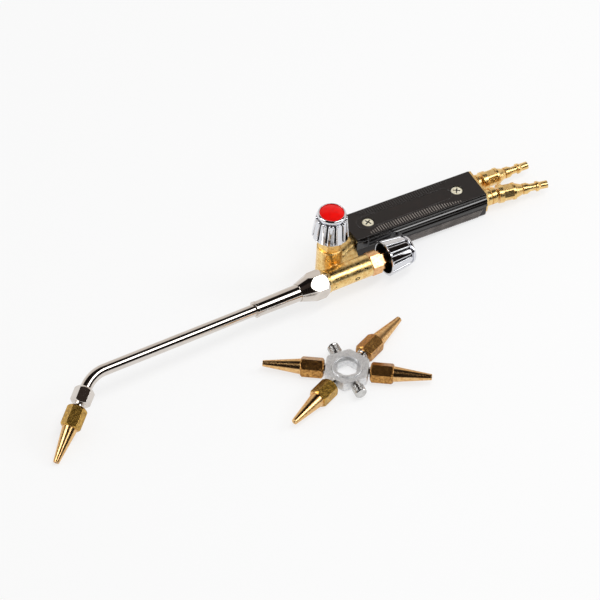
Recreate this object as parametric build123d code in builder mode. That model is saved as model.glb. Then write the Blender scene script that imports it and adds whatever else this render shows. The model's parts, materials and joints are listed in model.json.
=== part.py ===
from build123d import *
import os
from math import cos, radians, sin, sqrt, tan

# A hand torch for gas and oxygen with a set of spare nozzles, in millimetres.
#
# The torch is drawn in its own frame. The main axis runs through the mixer and the
# oxygen valve: X points back to the hose tails, Y to the side where the handle sits,
# Z up along the fuel valve. X = 0 is the front face of the valve body's barrel.
# The last section lays the finished torch on a table, on its nozzle tip and the heel
# of its handle, with the nozzle carrier lying flat beside it.

# ---------------------------------------------------------------- driving dimensions

# Fits
running_fit = 0.05          # radial clearance of anything that turns or slides
fixed_fit = 0.03            # radial clearance of anything screwed or soldered in place
seat_gap = 0.05             # clearance of a closed needle from its seat
hexagon_land = 0.2          # how far the round end face of a hexagon lies inside its flats

# Nozzle, one on the head and four on the carrier
nozzle_flats = 12.0
nozzle_hex_length = 15.2
nozzle_cone_length = 24.8
nozzle_cone_base = 10.4
nozzle_tip_diameter = 4.0
nozzle_orifice = 1.2
nozzle_rear_face = 10.7
nozzle_rear_chamfer = 1.3
nozzle_front_chamfer = 1.2
nozzle_bore = 3.4
socket_cone_length = 2.0

# Threaded stud that every nozzle screws onto
stud_diameter = 8.0
stud_length = 8.2
stud_neck_diameter = 6.4
stud_relief = 1.6
stud_end_chamfer = 0.6

# Adapter between mixing tube and nozzle
adapter_flats = 12.0
adapter_length = 11.5
adapter_gap = 2.4
adapter_rear_face = 10.0
adapter_rear_chamfer = 2.0
adapter_front_chamfer = 1.0
adapter_turn = 16.0
tube_socket_depth = 5.0

# Mixing tube: straight from the sleeve, then one bend
tube_diameter = 8.0
tube_bore = 5.4
tube_straight = 114.0
bend_angle = 44.0
bend_radius = 24.0
bend_roll = 50.0

# Sleeve that carries the mixing tube, and the mixer inlet inside the nut
sleeve_front_diameter = 10.4
sleeve_rear_diameter = 11.5
sleeve_visible = 33.0
sleeve_rim = 1.6
sleeve_rim_height = 0.3
sleeve_socket_depth = 12.0
mixer_collar_diameter = 13.0
mixer_collar_length = 2.6
mixer_plug_diameter = 8.0
mixer_plug_length = 7.0
mixer_throat = 3.0
seal_section = 1.6
seal_sunk = 0.75

# Union nut that holds the head on the body
nut_flats = 17.0
nut_length = 20.0
nut_nose_diameter = 12.6
nut_cone_length = 11.0
nut_rear_chamfer = 2.6
nut_rear_diameter = 16.6
nut_turn = 39.0

# Cast valve body
barrel_diameter = 15.0
barrel_length = 33.6
barrel_collar_diameter = 15.8
barrel_collar_length = 1.8
spigot_diameter = 14.0
spigot_length = 9.0
mixer_chamber_length = 13.0
injector_bore = 6.0
injector_bore_length = 7.0
boss_diameter = 16.8
boss_x = 12.8
boss_y = 15.0
boss_top = 14.5
boss_bottom = -8.5
web_front = 7.0
web_rear = 29.0
web_top = 2.5
web_bottom = -6.5
arm_front_width = 15.0
arm_rear_width = 23.0
arm_height = 12.0
arm_corner = 5.0
neck_width = 17.0
neck_height = 10.0
neck_corner = 4.0
flange_width = 21.5
flange_height = 10.5
flange_thickness = 6.0
flange_corner = 2.0
passage_diameter = 2.4

# Injector jet
injector_shank_length = 6.0
injector_head_diameter = 6.8
injector_head_length = 1.6
injector_jet = 0.9
injector_entry = 2.4
injector_nose_diameter = 2.4
injector_nose_length = 6.0

# Needle valves, the same inside on both sides
gland_flats = 14.0
gland_shank_diameter = 10.0
gland_shank_length = 4.0
gland_collar_flats = 11.0
gland_chamfer = 0.5
fuel_gland_hex_length = 7.0
fuel_gland_collar_length = 2.0
fuel_gland_turn = 45.0
oxygen_gland_hex_length = 8.0
oxygen_gland_collar_length = 4.6
oxygen_gland_turn = 39.0
packing_height = 2.5
spindle_diameter = 5.0
spindle_thread_diameter = 6.3
spindle_thread_length = 4.2
spindle_overtravel = 0.3
thread_pitch = 1.0
opening_turns = 2.0
needle_diameter = 3.2
needle_stub_length = 3.0
needle_stub_diameter = 3.0
needle_shank_length = 2.6
needle_cone_length = 2.6
needle_tip_diameter = 1.0
needle_protrusion = 1.3
seat_depth = 3.4

# Knob
fuel_knob_stand_off = 10.4
oxygen_knob_stand_off = 12.1
knob_skirt_diameter = 24.2
knob_skirt_top_diameter = 21.0
knob_skirt_height = 13.5
knob_skirt_belly = 3.6
knob_skirt_round = 0.6
knob_groove_diameter = 18.6
knob_groove_height = 1.4
knob_bezel_diameter = 19.2
knob_bezel_height = 4.7
knob_bezel_round = 1.5
knob_wall = 2.0
knob_rim_wall = 1.9
knob_cavity_depth = 10.0
knob_hub_diameter = 9.0
knob_hub_setback = 4.0
knob_slots = 12
knob_slot_width = 1.5
knob_slot_depth = 0.9
cap_diameter = 16.0
cap_rim_height = 2.0
cap_dome_height = 1.8
cap_recess_depth = 2.5
drive_flats = 2.8
drive_end_gap = 0.1
knob_screw_head = 5.6
knob_screw_head_height = 1.8
knob_screw_diameter = 2.4
knob_screw_length = 6.0
screw_well_diameter = 6.4
screw_well_depth = 2.6

# Handle, two moulded shells that meet at a level parting plane
handle_front_x = 35.5
handle_front_y = 28.4
handle_yaw = -2.3
handle_parting_z = -1.3
handle_length = 97.0
handle_top_height = 8.8
handle_bottom_depth = 10.7
handle_top_flat = 23.6
handle_edge = 0.7
handle_bead = 1.3
handle_groove = 0.5
handle_groove_height = 1.0
handle_width = 29.0
handle_parting_width = 27.6
handle_bottom_width = 25.2
handle_bottom_round = 3.0
handle_wall = 2.4
handle_roof = 2.4
handle_front_wall = 3.0
handle_boss_diameter = 7.6
handle_boss_foot_diameter = 11.0
handle_boss_foot_start = 3.4
handle_rib = 2.0
handle_rib_count = 3
knob_relief_length = 33.0
knob_relief_ramp = 7.0
knob_relief_depth = 2.0

# Handle fasteners
screw_front = 15.0
screw_spacing = 66.5
screw_head_diameter = 8.0
screw_head_height = 2.2
screw_rim_height = 1.1
screw_crown_diameter = 4.8
screw_shank_diameter = 4.0
screw_hole_clearance = 0.2
screw_head_set_down = 0.6
hex_nut_flats = 7.0
hex_nut_thickness = 3.2
hex_nut_pocket = 4.2

# Pipes, end plate, inlets and hose tails
pipe_diameter = 6.0
pipe_bore = 4.0
pipe_spacing = 14.8
pipe_socket_depth = 4.0
pipe_inlet_depth = 3.0
end_plate_thickness = 1.6
end_plate_inset = 0.5
end_plate_shoulder = 4.2
inlet_boss_diameter = 11.0
fuel_boss_length = 4.0
oxygen_boss_length = 7.6
inlet_groove_width = 0.9
inlet_groove_depth = 0.6
inlet_neck_diameter = 6.3
inlet_neck_length = 2.2
inlet_neck_root = 1.2
inlet_thread_gap = 0.4
inlet_thread_diameter = 7.4
inlet_thread_length = 7.6
oxygen_inlet_cant = -10.2
hose_nut_flange_diameter = 12.2
hose_nut_flange_length = 3.2
hose_nut_flats = 10.0
hose_nut_turned_diameter = 10.9
hose_nut_body_length = 6.9
hose_nut_ring_diameter = 11.4
hose_nut_ring_length = 1.6
hose_nut_cone_diameter = 10.2
hose_nut_nose_diameter = 6.8
hose_nut_nose_length = 5.0
tail_collar_length = 1.6
tail_neck_diameter = 5.6
tail_ring_diameter = 7.4
tail_ring_length = 3.0
tail_step_diameter = 6.2
tail_step_length = 1.3
tail_tube_diameter = 5.0
tail_tube_length = 12.7
tail_ridge_diameter = 6.8
tail_ridge_land = 1.2
tail_ridge_taper = 1.8
tail_ridge_setback = 4.8
tail_gap = 0.6
tail_bore = 3.0

# Nozzle carrier, a flat hub with six radial studs
carrier_x = -22.3
carrier_y = -64.6
carrier_turn = -37.9
hub_flats = 27.8
hub_corner = 3.0
hub_thickness = 7.0
hub_recess_diameter = 18.0
hub_recess_depth = 1.5
spanner_flats = 12.6
spanner_corner = 1.6
carrier_stand_off = 1.0
carrier_root_diameter = 4.6
carrier_root_length = 4.0
carrier_arms = 6
spare_gap_1 = 1.4    # hub to nozzle
spare_gap_2 = 3.3
spare_gap_3 = 1.0
spare_gap_4 = 3.6

# ---------------------------------------------------------------- derived places

spare_gaps = {0: spare_gap_1, 1: spare_gap_2, 3: spare_gap_3, 4: spare_gap_4}    # by arm
nozzle_length = nozzle_hex_length + nozzle_cone_length
socket_depth = stud_length
main_axis = Plane.YZ
spindle_travel = thread_pitch * opening_turns
shoulder_depth = gland_shank_length + packing_height + spindle_travel + spindle_overtravel
needle_joint_depth = shoulder_depth + spindle_thread_length
seat_plane_depth = needle_joint_depth + needle_shank_length + needle_cone_length - needle_protrusion
knob_height = knob_skirt_height + knob_groove_height + knob_bezel_height
cap_floor = knob_height - cap_recess_depth
well_floor = cap_floor - screw_well_depth
drive_top = well_floor - drive_end_gap

collar_rear = -spigot_length - running_fit
collar_front = collar_rear - mixer_collar_length
plug_rear = collar_rear + mixer_plug_length
seal_front = collar_rear + (mixer_plug_length - seal_section) / 2
seal_groove_radius = mixer_plug_diameter / 2 - seal_section * seal_sunk
seal_outer_radius = seal_groove_radius + seal_section
mixer_bore_radius = seal_outer_radius + running_fit
chamber_rear = mixer_chamber_length - spigot_length

sleeve_front = -nut_length - sleeve_visible
tube_end = sleeve_front - tube_straight
bend_tangent = bend_radius * tan(radians(bend_angle / 2))
bend_corner = Vector(tube_end - bend_tangent, 0, 0)
head_direction = Vector(
    -cos(radians(bend_angle)),
    -sin(radians(bend_angle)) * sin(radians(bend_roll)),
    -sin(radians(bend_angle)) * cos(radians(bend_roll)),
)
bend_end = bend_corner + head_direction * bend_tangent
head_upward = Vector(0, 0, 1) - head_direction * head_direction.Z
head_axis = Plane(bend_end, x_dir=head_upward, z_dir=head_direction)
nozzle_axis = head_axis.offset(adapter_length + adapter_gap)
tip_centre = nozzle_axis.offset(nozzle_length).origin

fuel_valve = Plane((boss_x, boss_y, boss_top), x_dir=(1, 0, 0), z_dir=(0, 0, 1))
oxygen_valve = Plane((barrel_length, 0, 0), x_dir=(0, 1, 0), z_dir=(1, 0, 0))

handle = Plane(
    (handle_front_x, handle_front_y, handle_parting_z),
    x_dir=(cos(radians(handle_yaw)), sin(radians(handle_yaw)), 0),
    z_dir=(0, 0, 1),
)
handle_section = Plane(handle.origin, x_dir=handle.y_dir, z_dir=handle.x_dir)
pipe_start = handle_front_wall + flange_thickness - pipe_socket_depth
pipe_end = handle_length + end_plate_thickness + pipe_inlet_depth
pipe_places = {"fuel": pipe_spacing / 2, "oxygen": -pipe_spacing / 2}
screw_places = (screw_front, screw_front + screw_spacing)


# ---------------------------------------------------------------- shared operations

def turn(outline, datum, mode=Mode.ADD):
    """Revolve a closed outline of (radius, height) points about the datum's z axis."""
    with BuildSketch(Plane(datum.origin, x_dir=datum.x_dir, z_dir=-datum.y_dir)) as half:
        with BuildLine():
            Polyline(*outline, close=True)
        make_face()
    revolve(half.sketch.face(), axis=Axis(datum.origin, datum.z_dir), mode=mode)


def rod(diameter, start, end, datum, mode=Mode.ADD):
    """Extrude a round bar or hole along the datum's z axis."""
    with BuildSketch(datum.offset(start)) as circle:
        Circle(diameter / 2)
    extrude(circle.sketch, amount=end - start, mode=mode)


def hexagon(flats, start, end, datum, rotation=0.0, mode=Mode.ADD):
    """Extrude a hexagon of the given width across flats along the datum's z axis."""
    with BuildSketch(datum.offset(start)) as section:
        RegularPolygon(flats / 2, 6, major_radius=False, rotation=rotation)
    extrude(section.sketch, amount=end - start, mode=mode)


def corner_radius(flats):
    """Radius over the corners of a hexagon."""
    return flats / sqrt(3)


def drill(diameter, start, end):
    """Cut a round passage between two points."""
    rod(diameter, 0, (end - start).length, Plane(start, z_dir=end - start), mode=Mode.SUBTRACT)


# ---------------------------------------------------------------- head

def nozzle(datum, rotation):
    """A nozzle with its rear face on the datum and its tip along z."""
    corner = corner_radius(nozzle_flats)
    with BuildPart() as piece:
        hexagon(nozzle_flats, 0, nozzle_hex_length, datum, rotation)
        turn(
            [
                (0, 0),
                (nozzle_rear_face / 2, 0),
                (corner, nozzle_rear_chamfer),
                (corner, nozzle_hex_length - nozzle_front_chamfer),
                (nozzle_flats / 2 - hexagon_land, nozzle_hex_length),
                (0, nozzle_hex_length),
            ],
            datum,
            mode=Mode.INTERSECT,
        )
        turn(
            [
                (0, nozzle_hex_length),
                (nozzle_cone_base / 2, nozzle_hex_length),
                (nozzle_tip_diameter / 2, nozzle_length),
                (0, nozzle_length),
            ],
            datum,
        )
        turn(
            [
                (0, 0),
                (stud_diameter / 2 + fixed_fit, 0),
                (stud_diameter / 2 + fixed_fit, socket_depth),
                (nozzle_bore / 2, socket_depth + socket_cone_length),
                (nozzle_orifice / 2, nozzle_length),
                (0, nozzle_length),
            ],
            datum,
            mode=Mode.SUBTRACT,
        )
    return piece


def stud(datum, stand_off, bore):
    """Threaded stud from z = 0 on the datum, with a narrow neck at its root."""
    radius = stud_diameter / 2
    turn(
        [
            (bore / 2, 0),
            (stud_neck_diameter / 2, 0),
            (stud_neck_diameter / 2, stand_off + stud_relief),
            (radius, stand_off + stud_relief),
            (radius, stand_off + stud_length - stud_end_chamfer),
            (radius - stud_end_chamfer, stand_off + stud_length),
            (bore / 2, stand_off + stud_length),
        ],
        datum,
    )


nozzle_tip = nozzle(nozzle_axis, adapter_turn)
nozzle_tip.part.label = "nozzle_tip"

with BuildPart() as nozzle_adapter:
    adapter_corner = corner_radius(adapter_flats)
    hexagon(adapter_flats, 0, adapter_length, head_axis, adapter_turn)
    turn(
        [
            (0, 0),
            (adapter_rear_face / 2, 0),
            (adapter_corner, adapter_rear_chamfer),
            (adapter_corner, adapter_length - adapter_front_chamfer),
            (adapter_flats / 2 - hexagon_land, adapter_length),
            (0, adapter_length),
        ],
        head_axis,
        mode=Mode.INTERSECT,
    )
    stud(head_axis.offset(adapter_length), adapter_gap, nozzle_bore)
    rod(tube_diameter + 2 * fixed_fit, 0, tube_socket_depth, head_axis, mode=Mode.SUBTRACT)
    rod(nozzle_bore, 0, adapter_length, head_axis, mode=Mode.SUBTRACT)
nozzle_adapter.part.label = "nozzle_adapter"

with BuildPart() as mixing_tube:
    with BuildLine() as tube_path:
        tube_back = Line((sleeve_front + sleeve_socket_depth, 0, 0), (tube_end, 0, 0))
        tube_bend = TangentArc(tube_back @ 1, bend_end, tangent=tube_back % 1)
        Line(tube_bend @ 1, head_axis.offset(tube_socket_depth).origin)
    with BuildSketch(Plane(tube_back @ 0, z_dir=(-1, 0, 0))) as tube_section:
        Circle(tube_diameter / 2)
        Circle(tube_bore / 2, mode=Mode.SUBTRACT)
    sweep(path=tube_path.wire())
mixing_tube.part.label = "mixing_tube"

with BuildPart() as mixer_sleeve:
    turn(
        [
            (0, sleeve_front),
            (sleeve_front_diameter / 2 + sleeve_rim_height, sleeve_front),
            (sleeve_front_diameter / 2 + sleeve_rim_height, sleeve_front + sleeve_rim),
            (sleeve_front_diameter / 2, sleeve_front + sleeve_rim),
            (sleeve_rear_diameter / 2, -nut_length),
            (sleeve_rear_diameter / 2, collar_front),
            (0, collar_front),
        ],
        main_axis,
    )
    rod(
        tube_diameter + 2 * fixed_fit,
        sleeve_front,
        sleeve_front + sleeve_socket_depth,
        main_axis,
        mode=Mode.SUBTRACT,
    )
    rod(tube_bore, sleeve_front, collar_front, main_axis, mode=Mode.SUBTRACT)
mixer_sleeve.part.label = "mixer_sleeve"

with BuildPart() as mixer_inlet:
    turn(
        [
            (0, collar_front),
            (mixer_collar_diameter / 2, collar_front),
            (mixer_collar_diameter / 2, collar_rear),
            (mixer_plug_diameter / 2, collar_rear),
            (mixer_plug_diameter / 2, seal_front),
            (seal_groove_radius, seal_front),
            (seal_groove_radius, seal_front + seal_section),
            (mixer_plug_diameter / 2, seal_front + seal_section),
            (mixer_plug_diameter / 2, plug_rear),
            (0, plug_rear),
        ],
        main_axis,
    )
    turn(
        [
            (0, collar_front),
            (tube_bore / 2, collar_front),
            (mixer_throat / 2, collar_rear),
            (mixer_throat / 2, plug_rear),
            (0, plug_rear),
        ],
        main_axis,
        mode=Mode.SUBTRACT,
    )
mixer_inlet.part.label = "mixer_inlet"

with BuildPart() as mixer_seal:
    with BuildSketch(Plane.XZ) as seal_circle:
        with Locations((seal_front + seal_section / 2, seal_groove_radius + seal_section / 2)):
            Circle(seal_section / 2 - fixed_fit)
    revolve(axis=Axis.X)
mixer_seal.part.label = "mixer_seal"


# ---------------------------------------------------------------- union nut and valve body

with BuildPart() as union_nut:
    nut_corner = corner_radius(nut_flats)
    nut_shoulder = collar_front - running_fit
    hexagon(nut_flats, -nut_length, 0, main_axis, nut_turn)
    turn(
        [
            (0, -nut_length),
            (nut_nose_diameter / 2, -nut_length),
            (nut_corner, -nut_length + nut_cone_length),
            (nut_corner, -nut_rear_chamfer),
            (nut_rear_diameter / 2, 0),
            (0, 0),
        ],
        main_axis,
        mode=Mode.INTERSECT,
    )
    rod(
        sleeve_rear_diameter + 2 * running_fit,
        -nut_length,
        nut_shoulder,
        main_axis,
        mode=Mode.SUBTRACT,
    )
    rod(spigot_diameter + 2 * fixed_fit, nut_shoulder, 0, main_axis, mode=Mode.SUBTRACT)
union_nut.part.label = "union_nut"


def needle_cone_radius(height_above_tip):
    """Radius of the needle's cone at a height above its tip."""
    slope = (needle_diameter - needle_tip_diameter) / 2 / needle_cone_length
    return needle_tip_diameter / 2 + slope * height_above_tip


seat_radius = needle_cone_radius(needle_protrusion) + seat_gap
spindle_bore_radius = spindle_thread_diameter / 2 + running_fit
gland_bore_radius = gland_shank_diameter / 2 + fixed_fit


def cut_valve_chamber(datum):
    """Bore a valve's gland socket, spindle bore and seat, down from the datum face."""
    turn(
        [
            (0, 0),
            (gland_bore_radius, 0),
            (gland_bore_radius, -gland_shank_length - packing_height),
            (spindle_bore_radius, -gland_shank_length - packing_height),
            (spindle_bore_radius, -seat_plane_depth),
            (seat_radius, -seat_plane_depth),
            (seat_radius, -seat_plane_depth - seat_depth),
            (0, -seat_plane_depth - seat_depth),
        ],
        datum,
        mode=Mode.SUBTRACT,
    )


def arm_section(station, width, height, corner):
    """Rounded rectangle square to the handle's axis, at a station from its front."""
    with BuildSketch(handle_section.offset(station)) as section:
        RectangleRounded(width, height, corner)
    return section.sketch.face()


with BuildPart() as valve_body:
    web_corner = handle.from_local_coords((0, arm_corner - arm_rear_width / 2, 0))
    turn(
        [
            (0, -spigot_length),
            (spigot_diameter / 2, -spigot_length),
            (spigot_diameter / 2, 0),
            (barrel_collar_diameter / 2, 0),
            (barrel_collar_diameter / 2, barrel_collar_length),
            (barrel_diameter / 2, barrel_collar_length),
            (barrel_diameter / 2, barrel_length),
            (0, barrel_length),
        ],
        main_axis,
    )
    rod(boss_diameter, boss_bottom - boss_top, 0, fuel_valve)
    with BuildSketch(Plane.XY.offset(web_bottom)):
        with BuildLine():
            Polyline(
                (web_front, 0),
                (web_rear, 0),
                (web_corner.X, web_corner.Y),
                (boss_x, boss_y),
                close=True,
            )
        make_face()
    extrude(amount=web_top - web_bottom)
    with BuildSketch(Plane((boss_x, boss_y, handle_parting_z), x_dir=(0, 1, 0), z_dir=(1, 0, 0))):
        RectangleRounded(arm_front_width, arm_height, arm_corner)
    with BuildSketch(handle_section):
        RectangleRounded(arm_rear_width, arm_height, arm_corner)
    loft()
    extrude(arm_section(0, neck_width, neck_height, neck_corner), amount=handle_front_wall)
    extrude(
        arm_section(handle_front_wall, flange_width, flange_height, flange_corner),
        amount=flange_thickness,
    )
    rod(2 * mixer_bore_radius, -spigot_length, chamber_rear, main_axis, mode=Mode.SUBTRACT)
    rod(
        injector_bore,
        chamber_rear,
        chamber_rear + injector_bore_length,
        main_axis,
        mode=Mode.SUBTRACT,
    )
    cut_valve_chamber(fuel_valve)
    cut_valve_chamber(oxygen_valve)
    flange_rear = handle_section.offset(handle_front_wall + flange_thickness)
    for pipe_y in pipe_places.values():
        socket = Plane(
            flange_rear.from_local_coords((pipe_y, 0, 0)),
            x_dir=flange_rear.x_dir,
            z_dir=flange_rear.z_dir,
        )
        rod(
            pipe_diameter + 2 * fixed_fit,
            -pipe_socket_depth,
            0,
            socket,
            mode=Mode.SUBTRACT,
        )
    # Oxygen runs from its pipe through the arm to the oxygen valve, then past the seat
    # to the injector.
    oxygen_socket = handle_section.from_local_coords((pipe_places["oxygen"], 0, pipe_start))
    oxygen_chamber = Vector(barrel_length - (needle_joint_depth + seat_plane_depth) / 2, 0, 0)
    oxygen_corner = Vector(oxygen_chamber.X + passage_diameter, boss_y, handle_parting_z)
    drill(passage_diameter, oxygen_socket, oxygen_corner)
    drill(passage_diameter, oxygen_corner, oxygen_chamber)
    drill(2 * seat_radius, Vector(barrel_length - seat_plane_depth, 0, 0), Vector(chamber_rear, 0, 0))
    # Fuel runs from its pipe to the fuel valve, then past the seat to the mixing chamber.
    fuel_socket = handle_section.from_local_coords((pipe_places["fuel"], 0, pipe_start))
    fuel_chamber = Vector(
        boss_x, boss_y, boss_top - (needle_joint_depth + seat_plane_depth) / 2
    )
    fuel_outlet = Vector(boss_x, boss_y, boss_top - seat_plane_depth - seat_depth / 2)
    drill(passage_diameter, fuel_socket, fuel_chamber)
    drill(passage_diameter, fuel_outlet, Vector(chamber_rear - passage_diameter / 2, 0, 0))
valve_body.part.label = "valve_body"

with BuildPart() as injector:
    head_front = chamber_rear - injector_head_length
    turn(
        [
            (injector_jet / 2, head_front - injector_nose_length),
            (injector_nose_diameter / 2, head_front - injector_nose_length),
            (injector_nose_diameter / 2, head_front),
            (injector_head_diameter / 2, head_front),
            (injector_head_diameter / 2, chamber_rear),
            (injector_bore / 2 - fixed_fit, chamber_rear),
            (injector_bore / 2 - fixed_fit, chamber_rear + injector_shank_length),
            (injector_entry / 2, chamber_rear + injector_shank_length),
            (injector_jet / 2, chamber_rear),
        ],
        main_axis,
    )
injector.part.label = "injector"


# ---------------------------------------------------------------- needle valves

def gland_nut(datum, hex_length, collar_length, rotation):
    """Gland nut screwed into the body on the datum, its spindle hole along z."""
    corner = corner_radius(gland_flats)
    with BuildPart() as piece:
        hexagon(gland_flats, 0, hex_length, datum, rotation)
        turn(
            [
                (0, 0),
                (gland_flats / 2 - hexagon_land, 0),
                (corner, gland_chamfer),
                (corner, hex_length - gland_chamfer),
                (gland_flats / 2 - hexagon_land, hex_length),
                (0, hex_length),
            ],
            datum,
            mode=Mode.INTERSECT,
        )
        rod(gland_shank_diameter, -gland_shank_length, 0, datum)
        hexagon(gland_collar_flats, hex_length, hex_length + collar_length, datum, rotation)
        rod(
            spindle_diameter + 2 * running_fit,
            -gland_shank_length,
            hex_length + collar_length,
            datum,
            mode=Mode.SUBTRACT,
        )
    return piece


def gland_packing(datum):
    """Packing ring squeezed round the spindle under the gland nut."""
    with BuildPart() as piece:
        rod(
            gland_shank_diameter,
            -gland_shank_length - packing_height,
            -gland_shank_length,
            datum,
        )
        rod(
            spindle_diameter + 2 * running_fit,
            -gland_shank_length - packing_height,
            -gland_shank_length,
            datum,
            mode=Mode.SUBTRACT,
        )
    return piece


def needle(datum):
    """Needle whose cone closes the seat and whose stub sits in the spindle."""
    cone_top = -needle_joint_depth - needle_shank_length
    stub_radius = needle_stub_diameter / 2
    with BuildPart() as piece:
        turn(
            [
                (0, -needle_joint_depth + needle_stub_length),
                (stub_radius, -needle_joint_depth + needle_stub_length),
                (stub_radius, -needle_joint_depth),
                (needle_diameter / 2, -needle_joint_depth),
                (needle_diameter / 2, cone_top),
                (needle_tip_diameter / 2, cone_top - needle_cone_length),
                (0, cone_top - needle_cone_length),
            ],
            datum,
        )
    return piece


def spindle(datum, knob_rim):
    """Spindle with its thread at the bottom and a square drive for the knob at the top."""
    drive_bottom = knob_rim + knob_hub_setback
    stub_hole_radius = needle_stub_diameter / 2 + running_fit
    with BuildPart() as piece:
        turn(
            [
                (0, -needle_joint_depth),
                (spindle_thread_diameter / 2, -needle_joint_depth),
                (spindle_thread_diameter / 2, -shoulder_depth),
                (spindle_diameter / 2, -shoulder_depth),
                (spindle_diameter / 2, drive_bottom),
                (0, drive_bottom),
            ],
            datum,
        )
        with BuildSketch(datum.offset(drive_bottom)):
            Rectangle(drive_flats, drive_flats)
        extrude(amount=drive_top - knob_hub_setback)
        turn(
            [
                (0, -needle_joint_depth),
                (stub_hole_radius, -needle_joint_depth),
                (stub_hole_radius, -needle_joint_depth + needle_stub_length + running_fit),
                (0, -needle_joint_depth + needle_stub_length + running_fit),
            ],
            datum,
            mode=Mode.SUBTRACT,
        )
        rod(
            knob_screw_diameter - 2 * fixed_fit,
            knob_rim + well_floor - knob_screw_length,
            knob_rim + drive_top,
            datum,
            mode=Mode.SUBTRACT,
        )
    return piece


def knob(datum):
    """Fluted knob with its rim on the datum, and a well in its top for screw and cap."""
    groove_bottom = knob_skirt_height
    bezel_bottom = knob_skirt_height + knob_groove_height
    with BuildPart() as piece:
        with BuildSketch(Plane(datum.origin, x_dir=datum.x_dir, z_dir=-datum.y_dir)):
            with BuildLine():
                Polyline(
                    (cap_diameter / 2 + fixed_fit, knob_height),
                    (cap_diameter / 2 + fixed_fit, cap_floor),
                    (0, cap_floor),
                    (0, 0),
                    (knob_skirt_diameter / 2 - knob_skirt_round, 0),
                )
                ThreePointArc(
                    (knob_skirt_diameter / 2 - knob_skirt_round, 0),
                    (knob_skirt_diameter / 2, knob_skirt_belly),
                    (knob_skirt_top_diameter / 2, groove_bottom),
                )
                Polyline(
                    (knob_skirt_top_diameter / 2, groove_bottom),
                    (knob_groove_diameter / 2, groove_bottom),
                    (knob_groove_diameter / 2, bezel_bottom),
                    (knob_bezel_diameter / 2, bezel_bottom),
                    (knob_bezel_diameter / 2, knob_height - knob_bezel_round),
                    (knob_bezel_diameter / 2 - knob_bezel_round, knob_height),
                    (cap_diameter / 2 + fixed_fit, knob_height),
                )
            make_face()
        revolve(axis=Axis(datum.origin, datum.z_dir))
        with BuildSketch(datum):
            with PolarLocations(knob_skirt_diameter / 2, knob_slots):
                Rectangle(2 * knob_slot_depth, knob_slot_width)
        extrude(amount=knob_skirt_height, mode=Mode.SUBTRACT)
        turn(
            [
                (knob_hub_diameter / 2, 0),
                (knob_skirt_diameter / 2 - knob_rim_wall, 0),
                (knob_skirt_top_diameter / 2 - knob_wall, knob_cavity_depth),
                (knob_hub_diameter / 2, knob_cavity_depth),
            ],
            datum,
            mode=Mode.SUBTRACT,
        )
        rod(knob_hub_diameter, 0, knob_hub_setback, datum, mode=Mode.SUBTRACT)
        with BuildSketch(datum.offset(knob_hub_setback)):
            Rectangle(drive_flats + 2 * fixed_fit, drive_flats + 2 * fixed_fit)
        extrude(amount=well_floor - knob_hub_setback, mode=Mode.SUBTRACT)
        rod(screw_well_diameter, well_floor, cap_floor, datum, mode=Mode.SUBTRACT)
    return piece


def knob_screw(datum):
    """Screw that clamps the knob to its spindle, hidden under the cap."""
    with BuildPart() as piece:
        turn(
            [
                (0, well_floor - knob_screw_length + running_fit),
                (knob_screw_diameter / 2 - 2 * fixed_fit, well_floor - knob_screw_length + running_fit),
                (knob_screw_diameter / 2 - 2 * fixed_fit, well_floor),
                (knob_screw_head / 2, well_floor),
                (knob_screw_head / 2, well_floor + knob_screw_head_height),
                (0, well_floor + knob_screw_head_height),
            ],
            datum,
        )
    return piece


def cap(datum):
    """Domed coloured cap that snaps into the top of a knob."""
    radius = cap_diameter / 2
    rim = cap_floor + cap_rim_height
    crown = rim + cap_dome_height
    dome_radius = (radius**2 + cap_dome_height**2) / (2 * cap_dome_height)
    halfway = crown - dome_radius + sqrt(dome_radius**2 - (radius / 2) ** 2)
    with BuildPart() as piece:
        with BuildSketch(Plane(datum.origin, x_dir=datum.x_dir, z_dir=-datum.y_dir)):
            with BuildLine():
                Polyline((0, crown), (0, cap_floor), (radius, cap_floor), (radius, rim))
                ThreePointArc((radius, rim), (radius / 2, halfway), (0, crown))
            make_face()
        revolve(axis=Axis(datum.origin, datum.z_dir))
    return piece


fuel_knob_datum = fuel_valve.offset(fuel_knob_stand_off)
oxygen_knob_datum = oxygen_valve.offset(oxygen_knob_stand_off)

fuel_gland_nut = gland_nut(
    fuel_valve, fuel_gland_hex_length, fuel_gland_collar_length, fuel_gland_turn
)
fuel_gland_nut.part.label = "fuel_gland_nut"
fuel_gland_packing = gland_packing(fuel_valve)
fuel_gland_packing.part.label = "fuel_gland_packing"
fuel_needle = needle(fuel_valve)
fuel_needle.part.label = "fuel_needle"
fuel_spindle = spindle(fuel_valve, fuel_knob_stand_off)
fuel_spindle.part.label = "fuel_spindle"
fuel_knob = knob(fuel_knob_datum)
fuel_knob.part.label = "fuel_knob"
fuel_knob_screw = knob_screw(fuel_knob_datum)
fuel_knob_screw.part.label = "fuel_knob_screw"
fuel_cap = cap(fuel_knob_datum)
fuel_cap.part.label = "fuel_cap"

oxygen_gland_nut = gland_nut(
    oxygen_valve, oxygen_gland_hex_length, oxygen_gland_collar_length, oxygen_gland_turn
)
oxygen_gland_nut.part.label = "oxygen_gland_nut"
oxygen_gland_packing = gland_packing(oxygen_valve)
oxygen_gland_packing.part.label = "oxygen_gland_packing"
oxygen_needle = needle(oxygen_valve)
oxygen_needle.part.label = "oxygen_needle"
oxygen_spindle = spindle(oxygen_valve, oxygen_knob_stand_off)
oxygen_spindle.part.label = "oxygen_spindle"
oxygen_knob = knob(oxygen_knob_datum)
oxygen_knob.part.label = "oxygen_knob"
oxygen_knob_screw = knob_screw(oxygen_knob_datum)
oxygen_knob_screw.part.label = "oxygen_knob_screw"
oxygen_cap = cap(oxygen_knob_datum)
oxygen_cap.part.label = "oxygen_cap"


# ---------------------------------------------------------------- handle

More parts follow.
